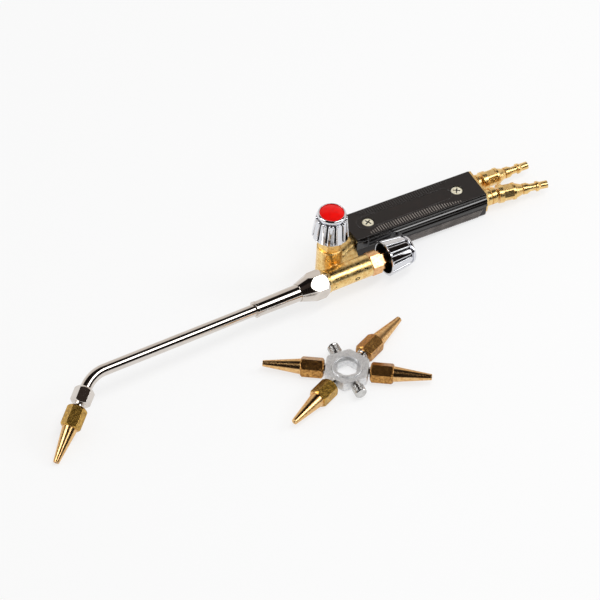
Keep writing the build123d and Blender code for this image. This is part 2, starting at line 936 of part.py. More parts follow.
handle_inner = handle_parting_width / 2 - handle_wall
saddle_diameter = pipe_diameter + 2 * running_fit
rib_pitch = screw_spacing / (handle_rib_count + 1)


def handle_bores(side, depth):
    """Screw bosses, pipe ribs and front opening inside one shell, side +1 up or -1 down."""
    inner_height = depth * side
    for place in screw_places:
        boss = Plane(handle.from_local_coords((place, 0, 0)), x_dir=handle.x_dir, z_dir=handle.z_dir)
        rod(handle_boss_diameter, 0, inner_height, boss)
        rod(handle_boss_foot_diameter, handle_boss_foot_start * side, inner_height, boss)
    for number in range(handle_rib_count):
        station = screw_front + rib_pitch * (number + 1)
        with BuildSketch(handle_section.offset(station - handle_rib / 2)) as rib:
            with Locations((0, inner_height / 2)):
                Rectangle(2 * handle_inner, abs(inner_height))
        extrude(rib.sketch, amount=handle_rib)
    for pipe_y in pipe_places.values():
        saddle = Plane(
            handle_section.from_local_coords((pipe_y, 0, 0)),
            x_dir=handle_section.x_dir,
            z_dir=handle_section.z_dir,
        )
        rod(saddle_diameter, handle_front_wall, handle_length, saddle, mode=Mode.SUBTRACT)
    extrude(
        arm_section(
            0, neck_width + 2 * fixed_fit, neck_height + 2 * fixed_fit, neck_corner + fixed_fit
        ),
        amount=handle_front_wall,
        mode=Mode.SUBTRACT,
    )
    for place in screw_places:
        hole = Plane(handle.from_local_coords((place, 0, 0)), x_dir=handle.x_dir, z_dir=handle.z_dir)
        rod(
            screw_shank_diameter + 2 * screw_hole_clearance,
            0,
            (handle_top_height + handle_bottom_depth) * side,
            hole,
            mode=Mode.SUBTRACT,
        )


def cut_knob_relief():
    """Flatten the handle's side where the oxygen knob turns, with a ramp at its rear end."""
    bead_foot = handle_top_height - handle_edge - handle_bead
    outside = -handle_width
    bulge_side = -handle_width / 2
    with BuildSketch(handle.offset(-handle_bottom_depth)) as relief:
        with BuildLine():
            Polyline(
                (-handle_front_wall, outside),
                (-handle_front_wall, bulge_side + knob_relief_depth),
                (knob_relief_length - knob_relief_ramp, bulge_side + knob_relief_depth),
                (knob_relief_length, bulge_side),
                (knob_relief_length, outside),
                close=True,
            )
        make_face()
    extrude(relief.sketch, amount=handle_bottom_depth + bead_foot, mode=Mode.SUBTRACT)


with BuildPart() as handle_top_shell:
    bead_edge = handle_top_flat / 2 + handle_edge
    bead_foot = handle_top_height - handle_edge - handle_bead
    groove_foot = bead_foot - handle_groove_height
    with BuildSketch(handle_section):
        with BuildLine():
            top_line = Polyline(
                (0, handle_top_height),
                (handle_top_flat / 2, handle_top_height),
                (bead_edge, handle_top_height - handle_edge),
                (bead_edge, bead_foot),
                (bead_edge - handle_groove, bead_foot - handle_groove),
                (bead_edge - handle_groove, groove_foot),
            )
            bulge = ThreePointArc(
                top_line @ 1,
                (handle_width / 2, groove_foot / 2),
                (handle_parting_width / 2, 0),
            )
            Line(bulge @ 1, (0, 0))
            mirror(about=Plane.YZ)
        make_face()
    extrude(amount=handle_length)
    with BuildSketch(handle_section.offset(handle_front_wall)):
        with BuildLine():
            roof = handle_top_height - handle_roof
            Polyline(
                (0, 0),
                (handle_inner, 0),
                (handle_inner, roof - handle_roof),
                (handle_inner - handle_roof, roof),
                (0, roof),
            )
            mirror(about=Plane.YZ)
        make_face()
    extrude(amount=handle_length - handle_front_wall, mode=Mode.SUBTRACT)
    cut_knob_relief()
    handle_bores(1, handle_top_height - handle_roof)
    for place in screw_places:
        seat = Plane(
            handle.from_local_coords((place, 0, handle_top_height)),
            x_dir=handle.x_dir,
            z_dir=handle.z_dir,
        )
        rod(
            screw_head_diameter + 2 * screw_hole_clearance,
            -screw_head_set_down - screw_head_height,
            0,
            seat,
            mode=Mode.SUBTRACT,
        )
handle_top_shell.part.label = "handle_top_shell"

with BuildPart() as handle_bottom_shell:
    with BuildSketch(handle_section):
        with BuildLine():
            Polyline(
                (-handle_parting_width / 2, 0),
                (handle_parting_width / 2, 0),
                (handle_bottom_width / 2, -handle_bottom_depth),
                (-handle_bottom_width / 2, -handle_bottom_depth),
                close=True,
            )
        outline = make_face()
        fillet(outline.vertices().group_by(Axis.Y)[0], radius=handle_bottom_round)
    extrude(amount=handle_length)
    with BuildSketch(handle_section.offset(handle_front_wall)):
        with BuildLine():
            floor = handle_bottom_depth - handle_wall
            Polyline(
                (0, 0),
                (handle_inner, 0),
                (handle_inner, -floor + handle_wall),
                (handle_inner - handle_wall, -floor),
                (0, -floor),
            )
            mirror(about=Plane.YZ)
        make_face()
    extrude(amount=handle_length - handle_front_wall, mode=Mode.SUBTRACT)
    cut_knob_relief()
    handle_bores(-1, handle_bottom_depth - handle_wall)
    for place in screw_places:
        pocket = Plane(
            handle.from_local_coords((place, 0, -handle_bottom_depth)),
            x_dir=handle.x_dir,
            z_dir=handle.z_dir,
        )
        hexagon(hex_nut_flats + 2 * running_fit, 0, hex_nut_pocket, pocket, mode=Mode.SUBTRACT)
handle_bottom_shell.part.label = "handle_bottom_shell"

nut_seat = -handle_bottom_depth + hex_nut_pocket
with BuildPart() as handle_screws:
    for place in screw_places:
        screw_axis = Plane(
            handle.from_local_coords((place, 0, 0)), x_dir=handle.x_dir, z_dir=handle.z_dir
        )
        head_bottom = handle_top_height - screw_head_set_down - screw_head_height
        turn(
            [
                (0, nut_seat - hex_nut_thickness),
                (screw_shank_diameter / 2, nut_seat - hex_nut_thickness),
                (screw_shank_diameter / 2, head_bottom),
                (screw_head_diameter / 2, head_bottom),
                (screw_head_diameter / 2, head_bottom + screw_rim_height),
                (screw_crown_diameter / 2, head_bottom + screw_head_height),
                (0, head_bottom + screw_head_height),
            ],
            screw_axis,
        )
handle_screws.part.label = "handle_screws"

with BuildPart() as handle_nuts:
    for place in screw_places:
        nut_axis = Plane(
            handle.from_local_coords((place, 0, nut_seat)), x_dir=handle.x_dir, z_dir=handle.z_dir
        )
        hexagon(hex_nut_flats, -hex_nut_thickness, 0, nut_axis)
        rod(
            screw_shank_diameter + 2 * fixed_fit,
            -hex_nut_thickness,
            0,
            nut_axis,
            mode=Mode.SUBTRACT,
        )
handle_nuts.part.label = "handle_nuts"

with BuildPart() as rear_end_plate:
    with BuildSketch(handle_section.offset(handle_length)):
        with BuildLine():
            plate_top = handle_top_height - end_plate_inset
            plate_side = handle_parting_width / 2 - end_plate_inset
            plate_bottom = handle_bottom_depth - end_plate_inset
            Polyline(
                (0, plate_top),
                (handle_top_flat / 2, plate_top),
                (plate_side, end_plate_shoulder),
                (plate_side, 0),
                (handle_bottom_width / 2 - end_plate_inset, handle_bottom_round - plate_bottom),
                (handle_bottom_width / 2 - handle_bottom_round, -plate_bottom),
                (0, -plate_bottom),
            )
            mirror(about=Plane.YZ)
        make_face()
        with Locations(*[(pipe_y, 0) for pipe_y in pipe_places.values()]):
            Circle(pipe_diameter / 2 + fixed_fit, mode=Mode.SUBTRACT)
    extrude(amount=end_plate_thickness)
rear_end_plate.part.label = "rear_end_plate"


# ---------------------------------------------------------------- pipes, inlets, hose tails

def pipe_datum(pipe_y, station):
    """Datum on a pipe's centreline, z pointing back along the handle."""
    return Plane(
        handle_section.from_local_coords((pipe_y, 0, station)),
        x_dir=handle_section.x_dir,
        z_dir=handle_section.z_dir,
    )


def supply_pipe(pipe_y):
    """Straight pipe through the handle, from the body's flange to the hose inlet."""
    with BuildPart() as piece:
        datum = pipe_datum(pipe_y, 0)
        rod(pipe_diameter, pipe_start, pipe_end, datum)
        rod(pipe_bore, pipe_start, pipe_end, datum, mode=Mode.SUBTRACT)
    return piece


def tail_datum(pipe_y, boss_length, cant):
    """Datum at the rear face of an inlet's boss, turned outwards by the cant angle."""
    face = pipe_datum(pipe_y, handle_length + end_plate_thickness + boss_length)
    return Plane(
        face.origin,
        x_dir=face.x_dir.rotate(Axis.Z, cant),
        z_dir=face.z_dir.rotate(Axis.Z, cant),
    )


def inlet(pipe_y, boss_length, cant):
    """Inlet with a grooved boss on the end plate and a threaded neck for the hose nut."""
    boss = pipe_datum(pipe_y, handle_length + end_plate_thickness)
    tail = tail_datum(pipe_y, boss_length, cant)
    radius = inlet_boss_diameter / 2
    groove_start = (boss_length - inlet_groove_width) / 2
    thread_start = inlet_neck_length + inlet_thread_gap
    with BuildPart() as piece:
        turn(
            [
                (0, 0),
                (radius, 0),
                (radius, groove_start),
                (radius - inlet_groove_depth, groove_start),
                (radius - inlet_groove_depth, groove_start + inlet_groove_width),
                (radius, groove_start + inlet_groove_width),
                (radius, boss_length),
                (0, boss_length),
            ],
            boss,
        )
        rod(inlet_neck_diameter, -inlet_neck_root, thread_start, tail)
        rod(inlet_thread_diameter, thread_start, thread_start + inlet_thread_length, tail)
        rod(pipe_diameter + 2 * fixed_fit, 0, pipe_inlet_depth, boss, mode=Mode.SUBTRACT)
        rod(tail_bore, -boss_length, thread_start + inlet_thread_length, tail, mode=Mode.SUBTRACT)
    return piece


tail_seat = inlet_neck_length + inlet_thread_gap + inlet_thread_length
nut_inner_shoulder = tail_seat + tail_collar_length + running_fit


def hose_nut(pipe_y, boss_length, cant):
    """Nut with a front flange, a turned-down hexagon, a ring and a tapered nose."""
    tail = tail_datum(pipe_y, boss_length, cant)
    body_start = inlet_neck_length + hose_nut_flange_length
    ring_start = body_start + hose_nut_body_length
    nose_start = ring_start + hose_nut_ring_length
    nose_end = nose_start + hose_nut_nose_length
    with BuildPart() as piece:
        hexagon(hose_nut_flats, body_start, ring_start, tail)
        turn(
            [
                (0, body_start),
                (hose_nut_turned_diameter / 2, body_start),
                (hose_nut_turned_diameter / 2, ring_start),
                (0, ring_start),
            ],
            tail,
            mode=Mode.INTERSECT,
        )
        rod(hose_nut_flange_diameter, inlet_neck_length, body_start, tail)
        turn(
            [
                (0, ring_start),
                (hose_nut_ring_diameter / 2, ring_start),
                (hose_nut_ring_diameter / 2, nose_start),
                (hose_nut_cone_diameter / 2, nose_start),
                (hose_nut_nose_diameter / 2, nose_end),
                (0, nose_end),
            ],
            tail,
        )
        rod(
            inlet_thread_diameter + 2 * fixed_fit,
            inlet_neck_length,
            nut_inner_shoulder,
            tail,
            mode=Mode.SUBTRACT,
        )
        rod(
            tail_neck_diameter + 2 * fixed_fit,
            nut_inner_shoulder,
            nose_end,
            tail,
            mode=Mode.SUBTRACT,
        )
    return piece


stop_start = (
    inlet_neck_length
    + hose_nut_flange_length
    + hose_nut_body_length
    + hose_nut_ring_length
    + hose_nut_nose_length
    + tail_gap
)
step_start = stop_start + tail_ring_length
tube_start = step_start + tail_step_length
tube_finish = tube_start + tail_tube_length
ridge_start = tube_start + tail_ridge_setback


def hose_tail(pipe_y, boss_length, cant):
    """Hose tail with a collar inside the nut, a stepped stop ring and one hose ridge."""
    with BuildPart() as piece:
        turn(
            [
                (tail_bore / 2, tail_seat),
                (inlet_thread_diameter / 2, tail_seat),
                (inlet_thread_diameter / 2, tail_seat + tail_collar_length),
                (tail_neck_diameter / 2, tail_seat + tail_collar_length),
                (tail_neck_diameter / 2, stop_start),
                (tail_ring_diameter / 2, stop_start),
                (tail_ring_diameter / 2, step_start),
                (tail_step_diameter / 2, step_start),
                (tail_step_diameter / 2, tube_start),
                (tail_tube_diameter / 2, tube_start),
                (tail_tube_diameter / 2, ridge_start),
                (tail_ridge_diameter / 2, ridge_start),
                (tail_ridge_diameter / 2, ridge_start + tail_ridge_land),
                (tail_tube_diameter / 2, ridge_start + tail_ridge_land + tail_ridge_taper),
                (tail_tube_diameter / 2, tube_finish),
                (tail_bore / 2, tube_finish),
            ],
            tail_datum(pipe_y, boss_length, cant),
        )
    return piece


fuel_pipe = supply_pipe(pipe_places["fuel"])
fuel_pipe.part.label = "fuel_pipe"
fuel_inlet = inlet(pipe_places["fuel"], fuel_boss_length, 0)
fuel_inlet.part.label = "fuel_inlet"
fuel_hose_nut = hose_nut(pipe_places["fuel"], fuel_boss_length, 0)
fuel_hose_nut.part.label = "fuel_hose_nut"
fuel_hose_tail = hose_tail(pipe_places["fuel"], fuel_boss_length, 0)
fuel_hose_tail.part.label = "fuel_hose_tail"

oxygen_pipe = supply_pipe(pipe_places["oxygen"])
oxygen_pipe.part.label = "oxygen_pipe"
oxygen_inlet = inlet(pipe_places["oxygen"], oxygen_boss_length, oxygen_inlet_cant)
oxygen_inlet.part.label = "oxygen_inlet"
oxygen_hose_nut = hose_nut(pipe_places["oxygen"], oxygen_boss_length, oxygen_inlet_cant)
oxygen_hose_nut.part.label = "oxygen_hose_nut"
oxygen_hose_tail = hose_tail(pipe_places["oxygen"], oxygen_boss_length, oxygen_inlet_cant)
oxygen_hose_tail.part.label = "oxygen_hose_tail"


# ---------------------------------------------------------------- nozzle carrier

carrier = Plane(
    (carrier_x, carrier_y, nozzle_flats / 2),
    x_dir=(cos(radians(carrier_turn)), sin(radians(carrier_turn)), 0),
    z_dir=(0, 0, 1),
)
arm_step = 360 / carrier_arms


def arm_datum(number):
    """Datum on the hub's face at one arm, z pointing outwards."""
    angle = radians(number * arm_step)
    outward = carrier.x_dir * cos(angle) + carrier.y_dir * sin(angle)
    return Plane(carrier.origin + outward * (hub_flats / 2), x_dir=(0, 0, 1), z_dir=outward)


with BuildPart() as carrier_hub:
    with BuildSketch(carrier.offset(-hub_thickness / 2)):
        RegularPolygon(hub_flats / 2, carrier_arms, major_radius=False, rotation=arm_step / 2)
    extrude(amount=hub_thickness)
    fillet(carrier_hub.edges().filter_by(Axis.Z), radius=hub_corner)
    rod(
        hub_recess_diameter,
        hub_thickness / 2 - hub_recess_depth,
        hub_thickness / 2,
        carrier,
        mode=Mode.SUBTRACT,
    )
    with BuildSketch(carrier.offset(-hub_thickness / 2)):
        hole = RegularPolygon(spanner_flats / 2, 6, major_radius=False, rotation=arm_step / 2)
        fillet(hole.vertices(), radius=spanner_corner)
    extrude(amount=hub_thickness, mode=Mode.SUBTRACT)
    for number in range(carrier_arms):
        rod(
            carrier_root_diameter + 2 * fixed_fit,
            -carrier_root_length,
            0,
            arm_datum(number),
            mode=Mode.SUBTRACT,
        )
carrier_hub.part.label = "carrier_hub"

with BuildPart() as carrier_studs:
    for number in range(carrier_arms):
        rod(carrier_root_diameter, -carrier_root_length, 0, arm_datum(number))
        stud(arm_datum(number), carrier_stand_off, 0)
carrier_studs.part.label = "carrier_studs"

spare_nozzles = []
for number, gap in spare_gaps.items():
    spare = nozzle(arm_datum(number).offset(gap), 0)
    spare.part.label = f"spare_nozzle_{len(spare_nozzles) + 1}"
    spare_nozzles.append(spare)


# ---------------------------------------------------------------- at rest on a table

torch_pieces = [
    nozzle_tip,
    nozzle_adapter,
    mixing_tube,
    mixer_sleeve,
    mixer_inlet,
    mixer_seal,
    union_nut,
    valve_body,
    injector,
    fuel_gland_nut,
    fuel_gland_packing,
    fuel_needle,
    fuel_spindle,
    fuel_knob,
    fuel_knob_screw,
    fuel_cap,
    oxygen_gland_nut,
    oxygen_gland_packing,
    oxygen_needle,
    oxygen_spindle,
    oxygen_knob,
    oxygen_knob_screw,
    oxygen_cap,
    handle_top_shell,
    handle_bottom_shell,
    handle_screws,
    handle_nuts,
    rear_end_plate,
    fuel_pipe,
    fuel_inlet,
    fuel_hose_nut,
    fuel_hose_tail,
    oxygen_pipe,
    oxygen_inlet,
    oxygen_hose_nut,
    oxygen_hose_tail,
]
carrier_pieces = [carrier_hub, carrier_studs, *spare_nozzles]

heel = handle.from_local_coords((handle_length, 0, -handle_bottom_depth))


def tip_drop(up):
    """How far the nozzle's rim reaches below the main axis when up points upwards."""
    sideways = sqrt(1 - head_direction.dot(up) ** 2)
    return nozzle_tip_diameter / 2 * sideways - tip_centre.dot(up)


pitch = 0.0
for _ in range(20):
    upward = Vector(-sin(pitch), 0, cos(pitch))
    pitch = pitch + (tip_drop(upward) + heel.dot(upward)) / (heel.X - tip_centre.X)
upward = Vector(-sin(pitch), 0, cos(pitch))
rest = Plane(
    (0, 0, tip_drop(upward)), x_dir=(cos(pitch), 0, -sin(pitch)), z_dir=(sin(pitch), 0, cos(pitch))
)

for piece in torch_pieces:
    label = piece.part.label
    piece.part = piece.part.moved(rest.location)
    piece.part.label = label

everything = Compound([piece.part for piece in torch_pieces + carrier_pieces])
bounds = everything.bounding_box()
centring = Pos(-bounds.center().X, -bounds.center().Y, 0)

os.makedirs("parts", exist_ok=True)
for piece in torch_pieces + carrier_pieces:
    label = piece.part.label
    piece.part = piece.part.moved(centring)
    piece.part.label = label
    export_step(piece.part, f"parts/{label}.step")
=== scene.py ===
"""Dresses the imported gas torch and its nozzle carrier, and sets up the studio around them.

Sizes are in millimetres and angles in degrees where a name doesn't say otherwise.
"""

from __future__ import annotations

import json
import logging
import math
from dataclasses import dataclass
from enum import Enum

import bmesh
import bpy
from mathutils import Matrix, Quaternion, Vector

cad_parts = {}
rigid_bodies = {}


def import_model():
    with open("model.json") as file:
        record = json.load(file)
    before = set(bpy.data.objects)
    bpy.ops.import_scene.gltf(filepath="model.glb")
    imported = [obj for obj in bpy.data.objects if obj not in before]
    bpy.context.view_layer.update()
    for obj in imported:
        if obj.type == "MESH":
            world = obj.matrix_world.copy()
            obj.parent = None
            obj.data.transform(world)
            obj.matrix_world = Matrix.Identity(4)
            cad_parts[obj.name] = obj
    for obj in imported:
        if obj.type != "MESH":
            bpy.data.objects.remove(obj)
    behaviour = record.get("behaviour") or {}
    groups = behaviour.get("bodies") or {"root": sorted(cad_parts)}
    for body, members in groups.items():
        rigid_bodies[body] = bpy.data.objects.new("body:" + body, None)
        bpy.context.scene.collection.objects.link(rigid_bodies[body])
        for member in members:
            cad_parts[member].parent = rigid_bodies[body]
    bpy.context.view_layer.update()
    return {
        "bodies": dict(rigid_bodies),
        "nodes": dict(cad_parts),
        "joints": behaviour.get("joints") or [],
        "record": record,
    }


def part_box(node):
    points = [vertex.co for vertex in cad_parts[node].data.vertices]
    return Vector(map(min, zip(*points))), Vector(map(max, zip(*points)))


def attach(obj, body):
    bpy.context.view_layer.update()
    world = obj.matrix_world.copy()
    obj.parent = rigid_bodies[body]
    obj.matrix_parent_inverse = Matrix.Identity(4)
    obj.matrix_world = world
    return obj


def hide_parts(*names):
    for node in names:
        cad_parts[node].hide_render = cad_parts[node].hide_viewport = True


LOG = logging.getLogger("torch")
MM = 0.001
WELD = 0.001 * MM
SHARP_EDGE = math.radians(32)
ROUND_STEPS = 96
SMALL_STEPS = 48
MARK_STEPS = 24
UP = Vector((0, 0, 1))
WHITE = "#FFFFFF"
DARK_CLOTH = "#15110F"
VACANT_STUDS = ("vacant_stud_1", "vacant_stud_2")

Material = bpy.types.Material
Mesh = bmesh.types.BMesh
Piece = bpy.types.Object
Socket = bpy.types.NodeSocket
Tree = bpy.types.NodeTree
Range = tuple[float, float]
Triple = tuple[float, float, float]
Outline = list[Range]


class Body(str, Enum):
    """The bodies that pieces ride on."""

    TORCH = "torch"
    FUEL_KNOB = "fuel_knob_body"
    OXYGEN_KNOB = "oxygen_knob_body"
    CARRIER = "nozzle_carrier"


class Slot(str, Enum):
    """The record's material slots, passed along with the pieces of the scene."""

    CAST_BRASS = "cast_brass"
    CHROME = "chrome_plate"
    ZINC = "zinc_plate"
    YELLOW_ZINC = "yellow_zinc"
    BLACK_PLASTIC = "black_plastic"


HANDLE = (Body.TORCH, Slot.BLACK_PLASTIC)


# --- colour and nodes


def linear(hex_colour: str) -> tuple[float, float, float, float]:
    """Turns an sRGB hex colour into linear RGBA.

    Args:
        hex_colour: Six hex digits with a leading hash.

    Returns:
        The linear colour with alpha 1.
    """
    channels = [int(hex_colour[i : i + 2], 16) / 255 for i in (1, 3, 5)]
    values = [c / 12.92 if c <= 0.04045 else ((c + 0.055) / 1.055) ** 2.4 for c in channels]
    return (values[0], values[1], values[2], 1.0)


def add_node(tree: Tree, kind: str, links: dict, out: str | int = 0, **settings: object) -> Socket:
    """Adds one node with its settings and links.

    Args:
        tree: The node tree that gets the node.
        kind: Blender's name of the node type, after ShaderNode.
        links: Input name or number to a value, or to the socket that feeds it.
        out: Name or number of the output to give back.
        settings: Attributes of the node.

    Returns:
        One output of the new node.
    """
    node = tree.nodes.new(f"ShaderNode{kind}")
    for name, value in settings.items():
        setattr(node, name, value)
    for name, value in links.items():
        if isinstance(value, Socket):
            tree.links.new(value, node.inputs[name])
        else:
            node.inputs[name].default_value = value
    return node.outputs[out]


def add_math(tree: Tree, operation: str, first: Socket, second: Socket | float = 0.0) -> Socket:
    """Adds an operation on one or two numbers."""
    return add_node(tree, "Math", {0: first, 1: second}, operation=operation)


def add_dot(tree: Tree, direction: Socket, axis: Vector) -> Socket:
    """Adds the dot product of a vector with a fixed axis."""
    links = {0: direction, 1: axis}
    return add_node(tree, "VectorMath", links, "Value", operation="DOT_PRODUCT")


def add_noise(
    tree: Tree, place: Socket, size_mm: float, detail: float, roughness: float = 0.5
) -> Socket:
    """Adds noise between 0 and 1, in patches of about a size."""
    links = {"Vector": place, "Scale": 1 / (size_mm * MM), "Detail": detail, "Roughness": roughness}
    return add_node(tree, "TexNoise", links)


def remap(tree: Tree, value: Socket, source: Range, target: Range = (0.0, 1.0)) -> Socket:
    """Maps one range of a value onto another and clamps it there."""
    links = {"Value": value, "From Min": source[0], "From Max": source[1]}
    return add_node(tree, "MapRange", {**links, "To Min": target[0], "To Max": target[1]})


def blend(tree: Tree, share: Socket, first: Socket | str, second: Socket | str) -> Socket:
    """Blends two colours, each a socket or an sRGB hex, by the second one's share."""
    ends = [linear(end) if isinstance(end, str) else end for end in (first, second)]
    return add_node(tree, "Mix", {"Factor": share, 6: ends[0], 7: ends[1]}, 2, data_type="RGBA")


def add_ramp(tree: Tree, share: Socket, stops: list[tuple[float, tuple]]) -> Socket:
    """Adds a colour ramp.

    Args:
        tree: The node tree.
        share: The place along the ramp, from 0 to 1.
        stops: Each stop's position and linear colour.

    Returns:
        The ramp's colour.
    """
    node = tree.nodes.new("ShaderNodeValToRGB")
    elements = node.color_ramp.elements
    while len(elements) < len(stops):
        elements.new(1.0)
    for element, (position, colour) in zip(elements, stops):
        element.position = position
        element.color = colour
    tree.links.new(share, node.inputs["Fac"])
    return node.outputs["Color"]


def add_relief(tree: Tree, height: Socket, depth_mm: float, edge_mm: float) -> Socket:
    """Adds a normal with rounded edges and a relief.

    Args:
        tree: The node tree.
        height: The relief's height, from 0 to 1.
        depth_mm: The relief's full depth.
        edge_mm: The radius that edges are rounded to.

    Returns:
        The normal for a shader.
    """
    rounded = add_node(tree, "Bevel", {"Radius": edge_mm * MM}, samples=6)
    links = {"Height": height, "Distance": depth_mm * MM, "Strength": 1.0, "Normal": rounded}
    return add_node(tree, "Bump", links)


def show(tree: Tree, shader: Socket, kind: str = "Material") -> None:
    """Sends a shader to a new output node."""
    output = tree.nodes.new(f"ShaderNodeOutput{kind}")
    tree.links.new(shader, output.inputs["Surface"])


def new_material(name: str) -> tuple[Material, Tree]:
    """Makes a node material with an empty tree.

    Args:
        name: The material's name.

    Returns:
        The material and its tree.
    """
    material = bpy.data.materials.new(name)
    material.use_nodes = True
    material.node_tree.nodes.clear()
    return material, material.node_tree


# --- finishes


@dataclass(frozen=True)
class Grain:
    """A surface's relief: size across, depth and detail of its grains."""

    size_mm: float
    depth_mm: float
    detail: float = 2.0


@dataclass(frozen=True)
class MetalFinish:
    """An unplated or plated metal with patches of tarnish and a fine grain."""

    name: str
    colour: str
    tarnish: str
    roughness: Range
    patch_mm: float
    patch_share: float
    grain: Grain
    edge_mm: float = 0.25
    metallic: float = 1.0
    patch_detail: float = 4.0
    patch_roughness: float = 0.6
    patch_levels: Range = (0.42, 0.68)
    grain_levels: Range = (0.3, 0.7)

    def material(self) -> Material:
        """Builds the node material.

        Returns:
            The material.
        """
        material, tree = new_material(self.name)
        place = add_node(tree, "TexCoord", {}, "Object")
        patches = add_noise(tree, place, self.patch_mm, self.patch_detail, self.patch_roughness)
        share = remap(tree, patches, self.patch_levels, (0.0, self.patch_share))
        grain = add_noise(tree, place, self.grain.size_mm, self.grain.detail)
        links = {
            "Base Color": blend(tree, share, self.colour, self.tarnish),
            "Metallic": self.metallic,
            "Roughness": remap(tree, grain, self.grain_levels, self.roughness),
            "Normal": add_relief(tree, grain, self.grain.depth_mm, self.edge_mm),
        }
        show(tree, add_node(tree, "BsdfPrincipled", links))
        return material


@dataclass(frozen=True)
class NozzleFinish:
    """Machined brass of a nozzle: an oxidised hexagon and a polished cone."""

    name: str
    cone: str
    cone_shade: str
    hexagon: str
    hexagon_stain: str
    stain_mm: float
    groove_mm: float
    groove_share: float = 0.2
    relief_mm: float = 0.002
    edge_mm: float = 0.25
    seam_mm: float = 0.15
    stain_detail: float = 6.0
    stain_roughness: float = 0.7
    stain_levels: Range = (0.38, 0.62)
    roughness: Range = (0.26, 0.2)

    def material(self, axis: Vector, hexagon_end: float, label: str) -> Material:
        """Builds the material of one nozzle.

        Args:
            axis: Unit direction from the nozzle's rear face to its tip.
            hexagon_end: Distance of the hexagon's front face from the origin along the axis.
            label: The nozzle's name, which ends the material's name.

        Returns:
            The node material.
        """
        material, tree = new_material(f"{self.name}_{label}")
        place = add_node(tree, "TexCoord", {}, "Object")
        along = add_dot(tree, place, axis)
        seam = self.seam_mm * MM
        on_cone = remap(tree, along, (hexagon_end - seam, hexagon_end + seam))
        stains = add_noise(tree, place, self.stain_mm, self.stain_detail, self.stain_roughness)
        share = remap(tree, stains, self.stain_levels)
        oxidised = blend(tree, share, self.hexagon, self.hexagon_stain)
        polished = blend(tree, share, self.cone, self.cone_shade)
        turning = add_math(tree, "MULTIPLY", along, math.tau / (self.groove_mm * MM))
        grooves = add_math(tree, "MULTIPLY", add_math(tree, "SINE", turning), self.groove_share)
        mixed = {"Factor": on_cone, 2: stains, 3: grooves}
        height = add_node(tree, "Mix", mixed, data_type="FLOAT")
        links = {
            "Base Color": blend(tree, on_cone, oxidised, polished),
            "Metallic": 1.0,
            "Roughness": remap(tree, on_cone, (0.0, 1.0), self.roughness),
            "Normal": add_relief(tree, height, self.relief_mm, self.edge_mm),
        }
        show(tree, add_node(tree, "BsdfPrincipled", links))
        return material


@dataclass(frozen=True)
class PlasticFinish:
    """A moulded plastic or rubber with a faint mould texture."""

    name: str
    colour: str
    scuff: str
    roughness: Range
    patch_mm: float
    grain: Grain
    gloss: float = 0.5
    ior: float = 1.53
    coat: float = 0.0
    edge_mm: float = 0.3
    coat_roughness: float = 0.06
    patch_detail: float = 5.0
    scuff_levels: Range = (0.45, 0.75)
    roughness_levels: Range = (0.35, 0.65)

    def material(self) -> Material:
        """Builds the node material.

        Returns:
            The material.
        """
        material, tree = new_material(self.name)
        place = add_node(tree, "TexCoord", {}, "Object")
        patches = add_noise(tree, place, self.patch_mm, self.patch_detail)
        share = remap(tree, patches, self.scuff_levels)
        grain = add_noise(tree, place, self.grain.size_mm, self.grain.detail)
        links = {
            "Base Color": blend(tree, share, self.colour, self.scuff),
            "Roughness": remap(tree, patches, self.roughness_levels, self.roughness),
            "IOR": self.ior,
            "Specular IOR Level": self.gloss,
            "Coat Weight": self.coat,
            "Coat Roughness": self.coat_roughness,
            "Normal": add_relief(tree, grain, self.grain.depth_mm, self.edge_mm),
        }
        show(tree, add_node(tree, "BsdfPrincipled", links))
        return material


# Bright nickel on drawn steel tube: warm grey mirror, a little wavy from drawing.
NICKEL = MetalFinish("nickel_plate", "#DAD3CC", "#B9AEA4", (0.06, 0.11), 9.0, 0.3, Grain(5.0, 0.01))
# Decorative chrome on die-cast zinc: a cold, near-perfect mirror.
CHROME = MetalFinish("chrome_plate", "#E0E1E5", "#C2C4CA", (0.05, 0.1), 6.0, 0.3, Grain(3.0, 0.006))
# Brass turned from bar: bright yellow, fine tool marks.
TURNED_BRASS = MetalFinish(
    "turned_brass", "#F8D692", "#DEB06A", (0.25, 0.36), 3.0, 0.7, Grain(1.6, 0.006)
)
# Brass rich in copper, for the oxygen gland nut: redder, fine tool marks.
GLAND_BRASS = MetalFinish(
    "gland_brass", "#F2BE86", "#C8884E", (0.12, 0.2), 2.0, 0.7, Grain(0.8, 0.002)
)
# Brass cast in sand and tumbled: yellow with a pitted, uneven skin and soft edges.
CAST_BRASS = MetalFinish(
    "cast_brass", "#FCDC98", "#D8A65A", (0.23, 0.35), 2.0, 0.9, Grain(2.4, 0.018, 1.5), edge_mm=1.8
)
# Zinc plate over punched steel: pale grey, satin, finely grained.
ZINC = MetalFinish(
    "zinc_plate", "#F0F0F0", "#D0D0D2", (0.38, 0.52), 1.6, 0.8, Grain(0.9, 0.01, 4.0), metallic=0.8
)
# Yellow passivated zinc on small screws: pale cream with a gold cast.
YELLOW_ZINC = MetalFinish(
    "yellow_zinc", "#FBF6E2", "#E8D8A6", (0.35, 0.5), 1.2, 0.7, Grain(0.8, 0.01), metallic=0.25
)
# Free-cutting steel straight from the lathe: bright grey, faint tool marks.
STEEL = MetalFinish("turned_steel", "#D2D1CF", "#A8A6A3", (0.12, 0.2), 3.0, 0.6, Grain(0.6, 0.003))
# Drawn copper pipe, never seen but through the handle's ends: orange, dulled.
COPPER = MetalFinish("drawn_copper", "#D08A5E", "#8A4B2C", (0.2, 0.35), 5.0, 0.8, Grain(1.5, 0.01))
# Brass bar of nozzles that were heated: an oxidised brown hexagon and a cone in red gold.
COPPERY_NOZZLE = NozzleFinish(
    "fired_nozzle_brass", "#EFC68C", "#D09E64", "#D6A25C", "#86582A", 1.6, 0.5
)
